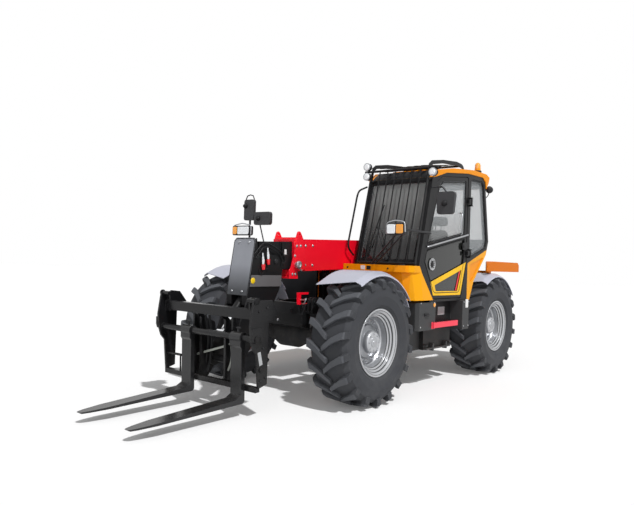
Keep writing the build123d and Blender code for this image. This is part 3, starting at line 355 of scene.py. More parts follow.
# rimSteps are thin dark rings: painted shade in the rim's stepped channels
wheelRings = {
    "lugTops": (0.602, 0.7), "bead": (0.3, 0.352), "disc": (0.108, 0.228),
    "rimSteps": ((0.245, 0.25), (0.263, 0.268), (0.284, 0.29), (0.308, 0.313))}
fenderFlap = {"direction": (-0.766, 0, -0.643), "distance": 0.43}
bonnetLine = (-0.333, 0, -1, -1.0)  # the slanted plane under which the cab's side is painted
coverFront = (0.9875, 0, 0.1573, 1.7036)  # the plane of the nose's front cover


# The middle of a wheel, from its tyre's box.
def wheelCentre(corner):
    low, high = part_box("tyre_" + corner)
    return tuple((low[i] + high[i]) / 2 for i in range(3))


# A region between two radii about a wheel's axis.
def wheelRing(hub, limits, colour, **more):
    return {"rings": [(hub, (1, 0, 1), *limits)], "colour": colour, **more}


# Gives a node one finish from the paints, with its own changes.
def dress(node, name, **changes):
    cad = nodes[node]
    cad.data.materials.clear()
    cad.data.materials.append(material(node, {**paints[name], **changes}))


for corner in corners:
    hub = wheelCentre(corner)
    dress("tyre_" + corner, "rubber", regions=[
        wheelRing(hub, wheelRings["lugTops"], (0.08, 0.084, 0.094), rough=0.62),
        wheelRing(hub, wheelRings["bead"], (0.05, 0.052, 0.057))])
    # the rim's step rings are painted shade in its channels
    dress("rim_" + corner, "silver", colour=(0.47, 0.48, 0.5), metal=0.6, rough=0.32, regions=[
        wheelRing(hub, wheelRings["disc"], (0.3, 0.31, 0.33)),
        *(wheelRing(hub, step, (0.12, 0.125, 0.13)) for step in wheelRings["rimSteps"])])
    flap = (*fenderFlap["direction"], fenderFlap["distance"] + float(np.dot(fenderFlap["direction"], hub)))
    dress("fender_" + corner, "silver", colour=(0.45, 0.46, 0.54), edge=0.5, regions=[
        {"sides": [flap], "colour": (0.014, 0.014, 0.015), "rough": 0.6}])
    dress("knuckle_" + corner, "cast")
for name, plainNodes in {
        "cast": ("front_axle", "rear_axle", "driveline", "engine_block"), "orange": ("engine_hood",),
        "plastic": ("cab_controls",), "red": ("boom_outer",),
        "black": ("lift_cylinder_barrel", "tilt_cylinder_barrel"),
        "chrome": ("lift_cylinder_rod", "tilt_cylinder_rod")}.items():
    for node in plainNodes:
        dress(node, name)
dress("counterweight", "cast", colour=(0.05, 0.05, 0.053))
dress("chassis_frame", "black", regions=[
    {"sides": [(0, 1, 0, 0.32), (1, 0, 0, 0.87), (0, 0, 1, 0.95), (0, -1, 0, -0.36)], "colour": redPaint,
     "rough": 0.4}])
# painted highlight: the cab's outermost left faces and one upright strip take the lighter orange, and the side
# panel below stays orange
dress("cab_shell", "black", regions=[
    {"sides": [(0, 1, 0, 1.003), (-1, 0, 0, 1.326), bonnetLine], "colour": highlightOrangePaint, "rough": 0.36},
    {"sides": [(0, 1, 0, 1.003), (0, -1, 0, -1.0405), (-1, 0, 0, 1.385), bonnetLine], "colour": orangePaint}])
dress("cab_roof", "orange", regions=[
    {"sides": [(1, 0, 0, -0.66), (0, 1, 0, 0.235), (0, -1, 0, -1.005)], "colour": (0.014, 0.014, 0.016),
     "rough": 0.5}])
# painted highlight: the cowl's left-facing side takes the lighter orange, and its front face keeps the plain
# orange
dress("front_cowl", "orange", regions=[{"sides": [(0, 1, 0, 1.02)], "colour": highlightOrangePaint}])
dress("rear_covers", "orange", colour=(0.66, 0.16, 0.002), specular=0.12, rough=0.5, coat=0.0)
dress("windscreen_guard", "black", edge=0.2)
dress("side_box", "grey", regions=[
    {"sides": [(0, 1, 0, 0.951), (0, 0, 1, 0.69), (0, 0, -1, -0.765), (1, 0, 0, -0.97), (-1, 0, 0, 0.37)],
     "colour": (0.94, 0.06, 0.1), "rough": 0.45},
    # painted shade: the recessed face behind the box's front is darker than the box
    {"sides": [(0, -1, 0, -0.9505), (1, 0, 0, -1.105), (-1, 0, 0, 0.445)], "colour": (0.012, 0.012, 0.013)}])
dress("lights", "plastic", regions=[
    {"sides": [(0, 0, 1, 2.645), (-1, 0, 0, 1.6)], "colour": amberPaint, "rough": 0.2},
    {"sides": [(-1, 0, 0, 2.9)], "colour": (0.62, 0.008, 0.01), "rough": 0.2}])
dress("mirrors", "plastic", colour=(0.05, 0.05, 0.053))
dress("door_frame", "black", regions=[
    {"sides": [(0, 1, 0, 1.0464), (0, 0, -1, -1.46)], "colour": (0.9, 0.52, 0.006), "rough": 0.35}])
dress("boom_inner", "black", regions=[
    *({"sides": [(0, side, 0, 0.1503)], "colour": (0.13, 0.125, 0.13), "rough": 0.5} for side in (1, -1)),
    # painted highlight: the front cover goes from black to grey towards its top
    {"sides": [coverFront, (0, 0, 1, 1.04)], "colour": (0.07, 0.073, 0.08), "rough": 0.34},
    {"sides": [coverFront, (0, 0, 1, 1.08, 0.26)], "colour": (0.27, 0.28, 0.31), "rough": 0.34}])
dress("carriage", "black", colour=(0.008, 0.008, 0.009), dust=(0.03, 0.04), rough=0.26, specular=0.25)
for node in ("fork_right", "fork_left"):
    dress(node, "black", colour=(0.014, 0.014, 0.015), dust=(0.05, 0.0), rough=0.24, specular=0.4)
dress("cab_glass", "windscreen", regions=[
    # painted shade: the windscreen darkens to near black towards its bottom
    {"sides": [(0, 0, -1, -2.15, 0.55), (1, 0, 0, -0.45)], "colour": (0.016, 0.016, 0.017)},
    {"sides": [(0, 1, 0, 1.0)], "colour": glassPaint, "alpha": 0.26},
    *({"sides": [side], "colour": glassPaint, "alpha": 0.3} for side in ((0, -1, 0, -0.26), (-1, 0, 0, 1.2)))])
dress("door_glass", "sideGlass", regions=[
    # painted shade: the upper glass is darker towards its bottom
    {"sides": [(0, 0, -1, -2.1, 0.4)], "colour": (0.3, 0.31, 0.31)},
    # painted shade: the lower glass is near black and nearly opaque
    {"sides": [(-0.19, 0, -1, -1.55)], "colour": (0.016, 0.017, 0.016), "alpha": 0.93}])
print("finishes placed")


# Three unit vectors: two square to a direction and to each other, and the direction itself.
def squareTo(direction):
    direction = np.asarray(direction, float) / np.linalg.norm(direction)
    start = (0.0, 0.0, 1.0) if abs(direction[2]) < 0.9 else (0.0, 1.0, 0.0)
    first = np.cross(start, direction)
    first /= np.linalg.norm(first)
    return first, np.cross(direction, first), direction


# Quads between neighbouring rings of points, and a flat face on the first and the last ring.
def closedGrid(rings):
    count, sides = rings.shape[:2]
    row = np.arange(count - 1)[:, None] * sides
    column = np.arange(sides)[None, :]
    after = (column + 1) % sides
    quads = np.stack([row + column, row + after, row + sides + after, row + sides + column], -1).reshape(-1, 4)
    ends = [tuple(range(sides))[::-1], tuple(range((count - 1) * sides, count * sides))]
    return rings.reshape(-1, 3), [*map(tuple, quads.tolist()), *ends]


# A profile of (along, radius) pairs turned about an axis: centre + along * axis + radius * (cos a, sin a).
# Ribs make the radius swell and shrink with a cosine of so many waves round the circle.
def lathe(profile, centre, axis, sides=32, ribs=0, ribDepth=0.0):
    first, second, axis = squareTo(axis)
    along, radius = np.array(profile, float).T
    turn = np.linspace(0, 2 * math.pi, sides, endpoint=False)
    circle = np.cos(turn)[:, None] * first + np.sin(turn)[:, None] * second
    circle = (1 + ribDepth * np.cos(ribs * turn))[:, None] * circle
    return closedGrid(np.asarray(centre) + along[:, None, None] * axis + radius[:, None, None] * circle)


# A path whose corners are parabolas: each starts and ends at a given reach from its corner.
def rounded(points, reach, steps=6):
    points = np.array(points, float)
    if len(points) < 3:
        return points
    corner = points[1:-1]

    def toward(target):
        gap = target - corner
        size = np.linalg.norm(gap, axis=1, keepdims=True)
        return (corner + gap / size * np.minimum(reach, size * 0.45))[:, None]

    t = np.linspace(0, 1, steps)[None, :, None]
    bends = (1 - t) ** 2 * toward(points[:-2]) + 2 * t * (1 - t) * corner[:, None] + t ** 2 * toward(points[2:])
    return np.vstack([points[:1], bends.reshape(-1, points.shape[1]), points[-1:]])


# A circle carried along a path with rounded corners: path + radius * (cos a * side + sin a * second), where the
# side is square to the path and lies in the plane that fits it best.
def tube(points, radius, reach=0.03, sides=12):
    path = rounded(points, reach)
    along = np.gradient(path, axis=0)
    along /= np.linalg.norm(along, axis=1, keepdims=True)
    side = np.cross(along, np.linalg.svd(path - path.mean(0))[2][2])
    side /= np.linalg.norm(side, axis=1, keepdims=True)
    second = np.cross(along, side)
    turn = np.linspace(0, 2 * math.pi, sides, endpoint=False)[None, :, None]
    return closedGrid(path[:, None] + radius * (np.cos(turn) * side[:, None] + np.sin(turn) * second[:, None]))


# A rectangle's corners, from two opposite ones.
def rectangle(a, b, c, d):
    return [(a, b), (c, b), (c, d), (a, d)]


# An outline with rounded corners, given thickness: origin + a * right + b * up, and the same moved along
# right x up.
def plate(outline, origin, right, up, thickness, reach=0.0):
    outline = np.array(outline, float)
    a, b = outline.T
    if np.sum(a * np.roll(b, -1) - b * np.roll(a, -1)) < 0:
        outline = outline[::-1]
    if reach:
        outline = rounded(np.vstack([outline[-1:], outline, outline[:1]]), reach)[1:-1]
    right, up = (np.asarray(v, float) / np.linalg.norm(v) for v in (right, up))
    base = np.asarray(origin) + outline[:, :1] * right + outline[:, 1:] * up
    return closedGrid(np.stack([base, base + thickness * np.cross(right, up)]))


# A plate in the plane of x and z, from points (x, z), that faces left, or right with a minus sign.
def sidePlate(outline, y, thickness, reach=0.0):
    way = 1 if thickness < 0 else -1
    return plate([(way * x, z) for x, z in outline], (0, y, 0), (way, 0, 0), (0, 0, 1), abs(thickness), reach)


# A plate in the plane of y and z, from points (y, z), that faces ahead, or backwards with a minus sign.
def frontPlate(outline, x, thickness, reach=0.0):
    way = 1 if thickness > 0 else -1
    return plate([(way * y, z) for y, z in outline], (x, 0, 0), (0, way, 0), (0, 0, 1), abs(thickness), reach)


# One bolt head, a hexagon with its top edge cut back, copied to every place by adding the places to it.
def bolts(places, axis, radius, height, sides=6):
    profile = [(-0.001, radius), (0.75 * height, radius), (height, 0.8 * radius)]
    head, faces = lathe(profile, (0, 0, 0), axis, sides)
    places = np.array(places, float).reshape(-1, 3)
    starts = range(0, len(places) * len(head), len(head))
    return (places[:, None] + head).reshape(-1, 3), [
        tuple(i + start for i in face) for start in starts for face in faces]


finishes = {}
sharpFold, bevelFold = math.radians(38), math.radians(50)  # folds past these stay sharp, or get a bevel


# The material of new pieces in one finish, made when it is first asked for.
def finish(look):
    if look not in finishes:
        finishes[look] = material(look + ".finish", paints[look])
    return finishes[look]


# Joins surfaces into one object that rides on a body.
def piece(name, parts, look, body="chassis", bevel=0.0):
    points, faces, start = [], [], 0
    for partPoints, partFaces in parts:
        points.append(partPoints)
        faces += [tuple(i + start for i in face) for face in partFaces]
        start += len(partPoints)
    mesh = bpy.data.meshes.new(name)
    mesh.from_pydata(np.vstack(points).tolist(), [], faces)
    mesh.shade_smooth()
    mesh.set_sharp_from_angle(angle=sharpFold)
    mesh.materials.append(finish(look))
    made = placeObject(name, mesh)
    if bevel:
        edges = made.modifiers.new("edges", "BEVEL")
        edges.width = bevel
        edges.segments = 2
        edges.limit_method = "ANGLE"
        edges.angle_limit = bevelFold
    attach(made, body)
    return made


# wheels: nuts, hub bolts and valves
wheelParts = {
    "nutCircle": 0.197, "nuts": 12, "nut": 0.014, "hubCircle": 0.082, "hubBolts": 8, "hubBolt": 0.01,
    "disc": 0.044, "hubFace": 0.136, "valveFoot": (0.238, 0.063), "valveTip": (0.252, 0.115), "valveTurn": 0.6}
hubCap = [(0.134, 0.05), (0.139, 0.05), (0.142, 0.044), (0.142, 0.02), (0.146, 0.018)]


# Places on a circle in the wheel's plane: centre + radius * (cos a, 0, sin a), at one distance outwards.
def around(hub, side, radius, count, outwards, turn=0.0):
    angle = turn + np.linspace(0, 2 * math.pi, count, endpoint=False)
    return np.column_stack([hub[0] + radius * np.cos(angle), np.full(count, hub[1] + side * outwards),
                            hub[2] + radius * np.sin(angle)])


for corner in corners:
    hub, side, spec, body = wheelCentre(corner), 1 if "left" in corner else -1, wheelParts, "wheel_" + corner
    outward = (0, side, 0)
    studs = around(hub, side, spec["nutCircle"], spec["nuts"], spec["disc"])
    hubRing = around(hub, side, spec["hubCircle"], spec["hubBolts"], spec["hubFace"])
    foot, tip = (around(hub, side, radius, 1, outwards, spec["valveTurn"])[0]
                 for radius, outwards in (spec["valveFoot"], spec["valveTip"]))
    piece("wheel_nuts_" + corner, [
        bolts(studs, outward, spec["nut"] * 1.5, 0.004, 16), bolts(studs, outward, spec["nut"], 0.02),
        bolts(studs, outward, spec["nut"] * 0.55, 0.03, 10)], "steel", body)
    piece("hub_bolts_" + corner, [
        bolts(hubRing, outward, spec["hubBolt"], 0.008), lathe(hubCap, hub, outward, 32)], "steel", body)
    piece("valve_" + corner, [
        tube([foot, (foot + tip) / 2, tip], 0.0045),
        lathe([(0, 0.007), (0.014, 0.007), (0.016, 0.005)], tip, tip - foot, 12)], "hose", body)
print("wheels done")

# boom head: its front cover, pipes, couplings and pins
nose = {
    "skin": 0.15, "band": 0.156, "coverTop": np.array((1.47, 0, 1.605)),
    "coverDown": np.array((0.1573, 0, -0.9875)), "coverOut": np.array((0.9875, 0, 0.1573)),
    "bolt": 0.011, "rim": 0.0035, "pipe": 0.007, "strap": 0.0035}


# A point on the nose's front cover, so far down its slope and across it, and lifted off it by a little.
def onCover(across, down, lifted=0.0):
    return nose["coverTop"] + down * nose["coverDown"] + (0, across, 0) + lifted * nose["coverOut"]


coverBolts = [onCover(across, down) for across in (-0.07, 0.07) for down in (0.045, 0.535)]
piece("nose_bolts", [bolts(coverBolts, nose["coverOut"], nose["bolt"], 0.009)], "steel", "boom_extension")
coverRim = [(-0.144, 0.57), (-0.144, 0.034), (-0.118, 0.008), (0.118, 0.008), (0.144, 0.034), (0.144, 0.57)]
piece("nose_rim", [tube([onCover(*place, 0.001) for place in coverRim], nose["rim"], 0.012, 8)],
      "black", "boom_extension")
pipeRuns = [
    [(1.49, 1.44), (1.383, 1.553), (1.309, 1.557), (1.2, 1.515), (1.094, 1.474), (1.046, 1.387), (1.074, 1.357)],
    [(1.47, 1.4), (1.375, 1.515), (1.305, 1.52), (1.21, 1.482), (1.125, 1.445), (1.09, 1.38), (1.1, 1.335)]]
piece("nose_pipes", [
    tube([(x, nose["skin"] + (0.012 if 0 < i < len(run) - 1 else 0.004), z) for i, (x, z) in enumerate(run)],
         nose["pipe"], 0.035) for run in pipeRuns], "black", "boom_extension")
coupling = {
    "places": [(1.378, 1.374), (1.311, 1.426)], "y": nose["skin"] + 0.018, "axis": (0.12, 0, 1),
    "sleeve": [(-0.03, 0.01), (-0.03, 0.016), (-0.022, 0.018), (0.02, 0.018), (0.024, 0.014), (0.045, 0.014),
               (0.05, 0.009), (0.085, 0.009)],
    "cap": [(-0.085, 0.006), (-0.08, 0.015), (-0.04, 0.019), (-0.028, 0.019)],
    "strap": [(-0.012, 0.014, -0.08), (-0.005, 0.02, -0.125), (0.03, 0.012, -0.125), (0.035, 0.004, -0.07)]}
for name, profile, look, ribs in (("sleeves", "sleeve", "chrome", ()), ("caps", "cap", "stripe", (8, 0.04))):
    piece("coupling_" + name, [
        lathe(coupling[profile], (x, coupling["y"], z), coupling["axis"], 24, *ribs)
        for x, z in coupling["places"]], look, "boom_extension")
piece("coupling_straps", [
    tube(np.add(coupling["strap"], (x, nose["skin"], z)), nose["strap"], 0.03, 8) for x, z in coupling["places"]],
    "hose", "boom_extension")
piece("nose_reflector", [
    lathe([(0, 0.029), (0.003, 0.029), (0.0055, 0.025), (0.0055, 0.012)], (1.497, nose["band"], 1.184),
          (0, 1, 0), 28)], "yellow", "boom_extension")
piece("extension_label", [
    sidePlate([(0.99, 1.455), (1.045, 1.452), (1.045, 1.505), (0.99, 1.508)], 0.1205, 0.0015, 0.004)],
    "paper", "boom_extension")
# each pin's place, the face that its cap lies on, and the cap's radius
pivotCaps = [((1.7, 0.43), 0.196, 0.034), ((1.18, 1.38), 0.151, 0.026)]
piece("nose_pins", [
    lathe([(-0.002, radius), (0.008, radius), (0.012, radius * 0.85), (0.012, radius * 0.4)], (x, side * y, z),
          (0, side, 0), 28) for (x, z), y, radius in pivotCaps for side in (-1, 1)] + [
    bolts([(x + way * radius * 0.62, side * (y + 0.008), z) for way in (1, -1)], (0, side, 0), 0.007, 0.008)
    for (x, z), y, radius in pivotCaps for side in (-1, 1)], "plastic", "boom_extension")
print("boom head done")

# outer boom: bolts of its wear pads, a sensor on the collar, pivot caps
outerBoom = {
    "collarFace": 0.162, "tubeFace": 0.1505, "slope": 0.04, "bolt": 0.01, "head": 0.009, "washer": 0.016,
    "collarBolts": [(0.875, 1.548), (0.815, 1.552), (0.9, 1.445), (0.885, 1.36), (0.93, 1.252), (0.885, 1.252)],
    "pivot": (-2.33, 1.58), "pivotFace": 0.25, "pivotBolts": 0.05}
padBolts = [(x, z + (0.78 - x) * outerBoom["slope"]) for x in (0.6, 0.72) for z in (1.345, 1.555)]
for side, name in ((1, "left"), (-1, "right")):
    rows = [(x, side * outerBoom["collarFace"], z) for x, z in outerBoom["collarBolts"]]
    rows += [(x, side * outerBoom["tubeFace"], z) for x, z in padBolts]
    piece("collar_bolts_" + name, [
        bolts(rows, (0, side, 0), outerBoom["bolt"], outerBoom["head"]),
        bolts(rows, (0, side, 0), outerBoom["washer"], 0.002, 20)], "steel", "boom")
topBolts = [(x, y, 1.616 + (0.72 - x) * 0.0403) for x in (0.56, 0.68) for y in (-0.09, 0.09)]
piece("boom_top_bolts", [bolts(topBolts, (outerBoom["slope"], 0, 1), outerBoom["bolt"], outerBoom["head"])],
      "steel", "boom")
piece("collar_sensor", [
    lathe([(0.0, 0.03), (0.022, 0.03), (0.024, 0.04), (0.046, 0.04), (0.05, 0.034), (0.05, 0.022),
           (0.043, 0.018)], (0.877, outerBoom["collarFace"], 1.352), (0, 1, 0), 28),
    tube([(0.86, 0.19, 1.325), (0.84, 0.195, 1.29), (0.8, 0.18, 1.29), (0.78, 0.155, 1.31)], 0.006)],
    "steel", "boom")
x, z = outerBoom["pivot"]
piece("boom_pivot_caps", [
    lathe([(0, 0.075), (0.012, 0.075), (0.018, 0.066), (0.018, 0.03)], (x, side * outerBoom["pivotFace"], z),
          (0, side, 0), 32) for side in (-1, 1)] + [
    bolts([(x + outerBoom["pivotBolts"] * math.cos(a), side * (outerBoom["pivotFace"] + 0.016),
            z + outerBoom["pivotBolts"] * math.sin(a)) for a in (0.5, 2.6, 4.7)], (0, side, 0), 0.009, 0.008)
    for side in (-1, 1)], "steel")
print("outer boom done")

# cab: door, windscreen, roof, mirrors and guard
cab = {
    "glass": 1.036, "seal": 1.0445, "sealCord": 0.006, "frontLow": np.array((-0.13, 1.385)),
    "frontHigh": np.array((-0.375, 2.385))}


# A point on the windscreen: a share of the way up its slanted line, at one y and some way ahead of it.
def onScreen(share, y, ahead=0.0):
    x, z = cab["frontLow"] + share * (cab["frontHigh"] - cab["frontLow"])
    return (x + ahead, y, z)


piece("door_sill_bar", [
    tube([(-0.3, 1.049, 1.6), (-0.31, 1.062, 1.604), (-1.29, 1.062, 1.789), (-1.3, 1.049, 1.791)], 0.01,
         0.012)], "steel", "cab_door")
piece("door_handle", [
    tube([(-1.1, 1.035, 2.045), (-1.092, 1.075, 2.035), (-1.057, 1.08, 1.945), (-1.065, 1.08, 1.835),
          (-1.121, 1.065, 1.8), (-1.125, 1.045, 1.77)], 0.008, 0.035)], "steel", "cab_door")
piece("door_lock", [
    sidePlate([(-1.16, 1.6), (-1.27, 1.6), (-1.27, 1.7), (-1.16, 1.68)], 1.05, 0.012, 0.02),
    sidePlate([(-1.175, 1.625), (-1.235, 1.625), (-1.235, 1.665), (-1.175, 1.655)], 1.061, 0.01, 0.01)],
    "plastic", "cab_door", 0.002)
vent = {
    "place": (-0.44, cab["glass"], 1.409), "slat": 0.0035, "lifted": 0.009,
    "rim": [(-0.002, 0.06), (0.004, 0.069), (0.01, 0.069), (0.012, 0.062), (0.006, 0.056), (0.005, 0.02)],
    "slats": ((1.375, 0.045), (1.398, 0.054), (1.421, 0.054), (1.444, 0.045))}
x, y, _ = vent["place"]
piece("door_vent", [lathe(vent["rim"], vent["place"], (0, 1, 0), 40)], "label", "cab_door")
piece("door_vent_slats", [lathe([(0.0052, 0.056), (0.0056, 0.02)], vent["place"], (0, 1, 0), 32)] + [
    tube([(x - half, y + vent["lifted"], z), (x + half, y + vent["lifted"], z)], vent["slat"], 0, 6)
    for z, half in vent["slats"]], "plastic", "cab_door")
piece("door_stripe", [
    sidePlate([(-1.158, 1.35), (-1.122, 1.34), (-1.03, 1.106), (-1.066, 1.106)], 1.0375, 0.0015)],
    "stripe", "cab_door")


# A rubber cord round an opening in the cab's side, from points (x, z).
def sideSeal(run, reach):
    return tube([(x, cab["seal"], z) for x, z in run], cab["sealCord"], reach, 8)


piece("door_seals", [
    sideSeal([(-0.31, 1.64), (-0.55, 2.302), (-0.63, 2.358), (-1.225, 2.434), (-1.225, 1.815), (-0.75, 1.724),
              (-0.31, 1.64)], 0.045),
    sideSeal([(-0.262, 1.436), (-0.3, 1.556), (-1.225, 1.733), (-1.225, 1.482), (-1.112, 1.085), (-0.486, 1.085),
              (-0.262, 1.436)], 0.045)], "hose", "cab_door")
piece("quarter_seal", [
    sideSeal([(-1.36, 2.478), (-1.675, 2.489), (-1.725, 2.452), (-1.866, 1.748), (-1.822, 1.65), (-1.362, 1.514),
              (-1.36, 2.478)], 0.03)], "hose")
wiperFoot = onScreen(0.06, 0.62, 0.012)
piece("wiper", [
    lathe([(-0.012, 0.02), (0.012, 0.02), (0.018, 0.012)], wiperFoot, (0.97, 0, 0.24), 20),
    tube([np.add(wiperFoot, (0.012, 0, 0)), onScreen(0.12, 0.6, 0.03), onScreen(0.46, 0.42, 0.022)], 0.006),
    tube([onScreen(0.2, 0.37, 0.008), onScreen(0.46, 0.42, 0.012), onScreen(0.7, 0.47, 0.008)], 0.0065, 0.2)],
    "hose")
piece("screen_header", [
    plate(rectangle(0.22, -0.02, 1.02, 0.02), onScreen(0.98, 0, 0.001), (0, 1, 0), (-0.238, 0, 0.971), 0.01,
          0.03)], "black", bevel=0.003)
screenRim = rectangle(0.03, 0.232, 0.955, 1.008)
piece("screen_seal", [
    tube([onScreen(share, y, 0.001) for share, y in (*screenRim, screenRim[0])], 0.007, 0.04, 8)], "hose")
hatch = {"front": (-0.69, 2.525), "back": (-1.45, 2.609), "right": 0.33, "left": 0.9}
piece("roof_hatch", [
    tube([(x, hatch[side], z) for side, (x, z) in (
        ("right", hatch["front"]), ("left", hatch["front"]), ("left", hatch["back"]), ("right", hatch["back"]),
        ("right", hatch["front"]))], 0.009, 0.07, 8)], "orange")
mirror = {
    "clamp": [(0, 0.03), (0.016, 0.03), (0.026, 0.02), (0.034, 0.018), (0.038, 0.01)],
    "clamps": ((-0.262, 1.262, 2.07), (0.386, -1.15, 2.06), (0.386, -0.92, 1.9)),
    "faces": ((-0.305, [(1.185, 1.968), (1.178, 2.187), (1.372, 2.187), (1.354, 1.968)]),
              (0.346, [(-1.168, 1.892), (-1.168, 2.128), (-1.022, 2.128), (-1.022, 1.892)]),
              (0.346, [(-0.988, 1.832), (-0.988, 1.968), (-0.732, 1.968), (-0.732, 1.832)]))}
piece("mirror_arm_clamps", [lathe(mirror["clamp"], place, (1, 0, 0), 20) for place in mirror["clamps"]], "hose")
piece("mirror_glasses", [frontPlate(outline, x, -0.002, 0.03) for x, outline in mirror["faces"]], "mirrorFace")
piece("work_lamp", [
    lathe([(-0.005, 0.02), (0.0, 0.044), (0.03, 0.048), (0.06, 0.036), (0.075, 0.016)], (-1.955, 1.04, 2.425),
          (1, 0, 0), 28),
    tube([(-1.9, 1.02, 2.42), (-1.86, 1.0, 2.46), (-1.84, 0.99, 2.5)], 0.01),
    tube([(-1.93, 1.04, 2.385), (-1.9, 1.03, 2.33), (-1.84, 1.02, 2.3)], 0.006)], "plastic")
piece("antenna", [
    lathe([(0, 0.014), (0.012, 0.012), (0.02, 0.005)], (-1.83, 0.86, 2.6), (-0.4, 0, 1), 14),
    tube([(-1.838, 0.86, 2.615), (-1.9, 0.86, 2.68), (-1.95, 0.86, 2.74)], 0.0028, 0.02, 6)], "hose")
slats = {"count": 7, "width": 0.045, "from": (-0.345, 2.512), "to": (-1.11, 2.628), "left": 1.02, "right": 0.28}
slatRun = np.subtract(slats["to"], slats["from"])
slatPlaces = np.linspace(slats["right"], slats["left"], slats["count"] + 2)[1:-1]
piece("guard_slats", [
    plate(rectangle(y - slats["width"] / 2, 0.0, y + slats["width"] / 2, np.linalg.norm(slatRun)),
          (slats["from"][0], 0, slats["from"][1] + 0.008), (0, 1, 0), (slatRun[0], 0, slatRun[1]), 0.005, 0.01)
    for y in slatPlaces], "black")
railRun = [(-0.315, 2.31), (-0.165, 2.255), (-0.125, 2.2), (0.026, 1.624), (0.017, 1.559), (-0.085, 1.485)]
piece("cab_front_rail", [tube([(x, 0.2, z) for x, z in railRun], 0.011, 0.05)], "black")
print("cab done")

# lamps and beacon
lamps = {
    "front": 0.44, "bow": 0.007, "bowX": 0.425,
    "left": (0.995, 1.092, 1.103, 1.182), "right": (-1.222, -1.024, -1.308, -1.236),
    "bows": ([(0.978, 1.7), (0.978, 1.812), (1.07, 1.838), (1.19, 1.822), (1.198, 1.72)],
             [(-1.311, 1.7), (-1.311, 1.815), (-1.165, 1.842), (-1.002, 1.815), (-1.002, 1.7)]),
    "roofX": -0.285, "roof": ((0.209, 2.4317), (0.209, 2.5483), (1.092, 2.4317)),
    "roofLens": [(-0.002, 0.038), (0.002, 0.038), (0.007, 0.03), (0.009, 0.012)],
    "roofRing": [(-0.012, 0.0445), (-0.012, 0.047), (0.003, 0.047), (0.003, 0.038)]}
for name in ("left", "right"):
    clearLow, clearHigh, amberLow, amberHigh = lamps[name]
    piece("headlamp_lens_" + name, [
        frontPlate(rectangle(clearLow, 1.702, clearHigh, 1.798), lamps["front"], 0.01, 0.018)],
        "lens", bevel=0.003)
    piece("indicator_lens_" + name, [
        frontPlate(rectangle(amberLow, 1.704, amberHigh, 1.796), lamps["front"], 0.012, 0.012)],
        "amber", bevel=0.003)
piece("headlamp_bows", [tube([(lamps["bowX"], y, z) for y, z in run], lamps["bow"]) for run in lamps["bows"]],
      "steel")
for name, profile, look, sides in (("lenses", "roofLens", "lens", 28), ("rings", "roofRing", "steel", 32)):
    piece("roof_lamp_" + name, [lathe(lamps[profile], (lamps["roofX"], y, z), (1, 0, 0), sides)
                                for y, z in lamps["roof"]], look)
beacon = {
    "foot": (-1.73, 0.96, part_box("lights")[1][2] - 0.152),
    "dome": [(0.045, 0.0375), (0.052, 0.0385), (0.118, 0.0375), (0.137, 0.03), (0.147, 0.018), (0.1512, 0.006)],
    "base": [(0.001, 0.052), (0.012, 0.052), (0.016, 0.051), (0.04, 0.0505), (0.046, 0.042), (0.048, 0.039)]}
piece("beacon_dome", [lathe(beacon["dome"], beacon["foot"], (0, 0, 1), 48, 16, 0.012)], "amber")
piece("beacon_base", [lathe(beacon["base"], beacon["foot"], (0, 0, 1), 40)], "hose")
print("lamps done")

# side box, cowl, hood and frame details
sideBox = {"front": 1.0952, "recess": 0.9502, "rear": 1.1102, "bolt": 0.009, "catch": 0.005}
piece("box_reflector", [
    lathe([(0, 0.024), (0.003, 0.024), (0.006, 0.02), (0.006, 0.008)], (-0.425, sideBox["front"] - 0.001, 0.955),
          (0, 1, 0), 28)], "amber")
piece("box_label", [sidePlate(rectangle(-0.775, 0.815, -0.94, 0.91), sideBox["recess"], 0.002, 0.006)], "label")
piece("box_plate", [sidePlate(rectangle(-1.175, 0.9, -1.245, 1.0), sideBox["rear"], 0.002, 0.006)], "paper")
grips = {"count": 12, "first": -0.955, "pitch": 0.048, "width": 0.02, "inner": 0.957, "outer": 1.105, "z": 0.7595}
gripStarts = grips["first"] + grips["pitch"] * np.arange(grips["count"])
piece("step_grips", [
    plate(rectangle(x, grips["inner"], x + grips["width"], grips["outer"]), (0, 0, grips["z"]), (1, 0, 0),
          (0, 1, 0), 0.004) for x in gripStarts], "hose")
piece("box_bolts", [
    bolts([(x, sideBox[face] - 0.0002, z) for x in xs for z in zs], (0, 1, 0), sideBox["bolt"], 0.006)
    for face, xs, zs in (("front", (-0.42, -0.12), (0.72, 0.98)), ("rear", (-1.255, -1.13), (0.68, 0.97)))],
    "steel")
piece("box_catch", [
    sidePlate(rectangle(-0.2, 0.83, -0.3, 0.87), sideBox["front"] - 0.0004, 0.008, 0.012),
    tube([(x, sideBox["front"] + out, 0.85) for x, out in (
        (-0.215, 0.004), (-0.215, 0.024), (-0.285, 0.024), (-0.285, 0.004))], sideBox["catch"], 0.012)],
    "plastic")
cowlFace = 0.1001
piece("cowl_bolts", [bolts([(0.1, y, 1.345) for y in (0.26, 0.8)], (1, 0, 0), 0.011, 0.006)], "hose")
piece("cowl_cap", [
    lathe([(0, 0.038), (0.01, 0.038), (0.014, 0.03), (0.014, 0.012)], (-0.02, 0.9, 1.3835), (0, 0, 1), 28,
          12, 0.03)], "plastic")
for name, outline, look in (("labels", rectangle(0.44, 1.325, 0.5, 1.37), "paper"),
                            ("slot", rectangle(0.52, 1.325, 0.575, 1.368), "hose")):
    piece("cowl_" + name, [frontPlate(outline, cowlFace, 0.0015, 0.003)], look)
hood = {"face": -1.1, "latches": (-1.0, -0.36), "handle": (-0.8, -0.56), "out": -1.13, "rod": 0.008}
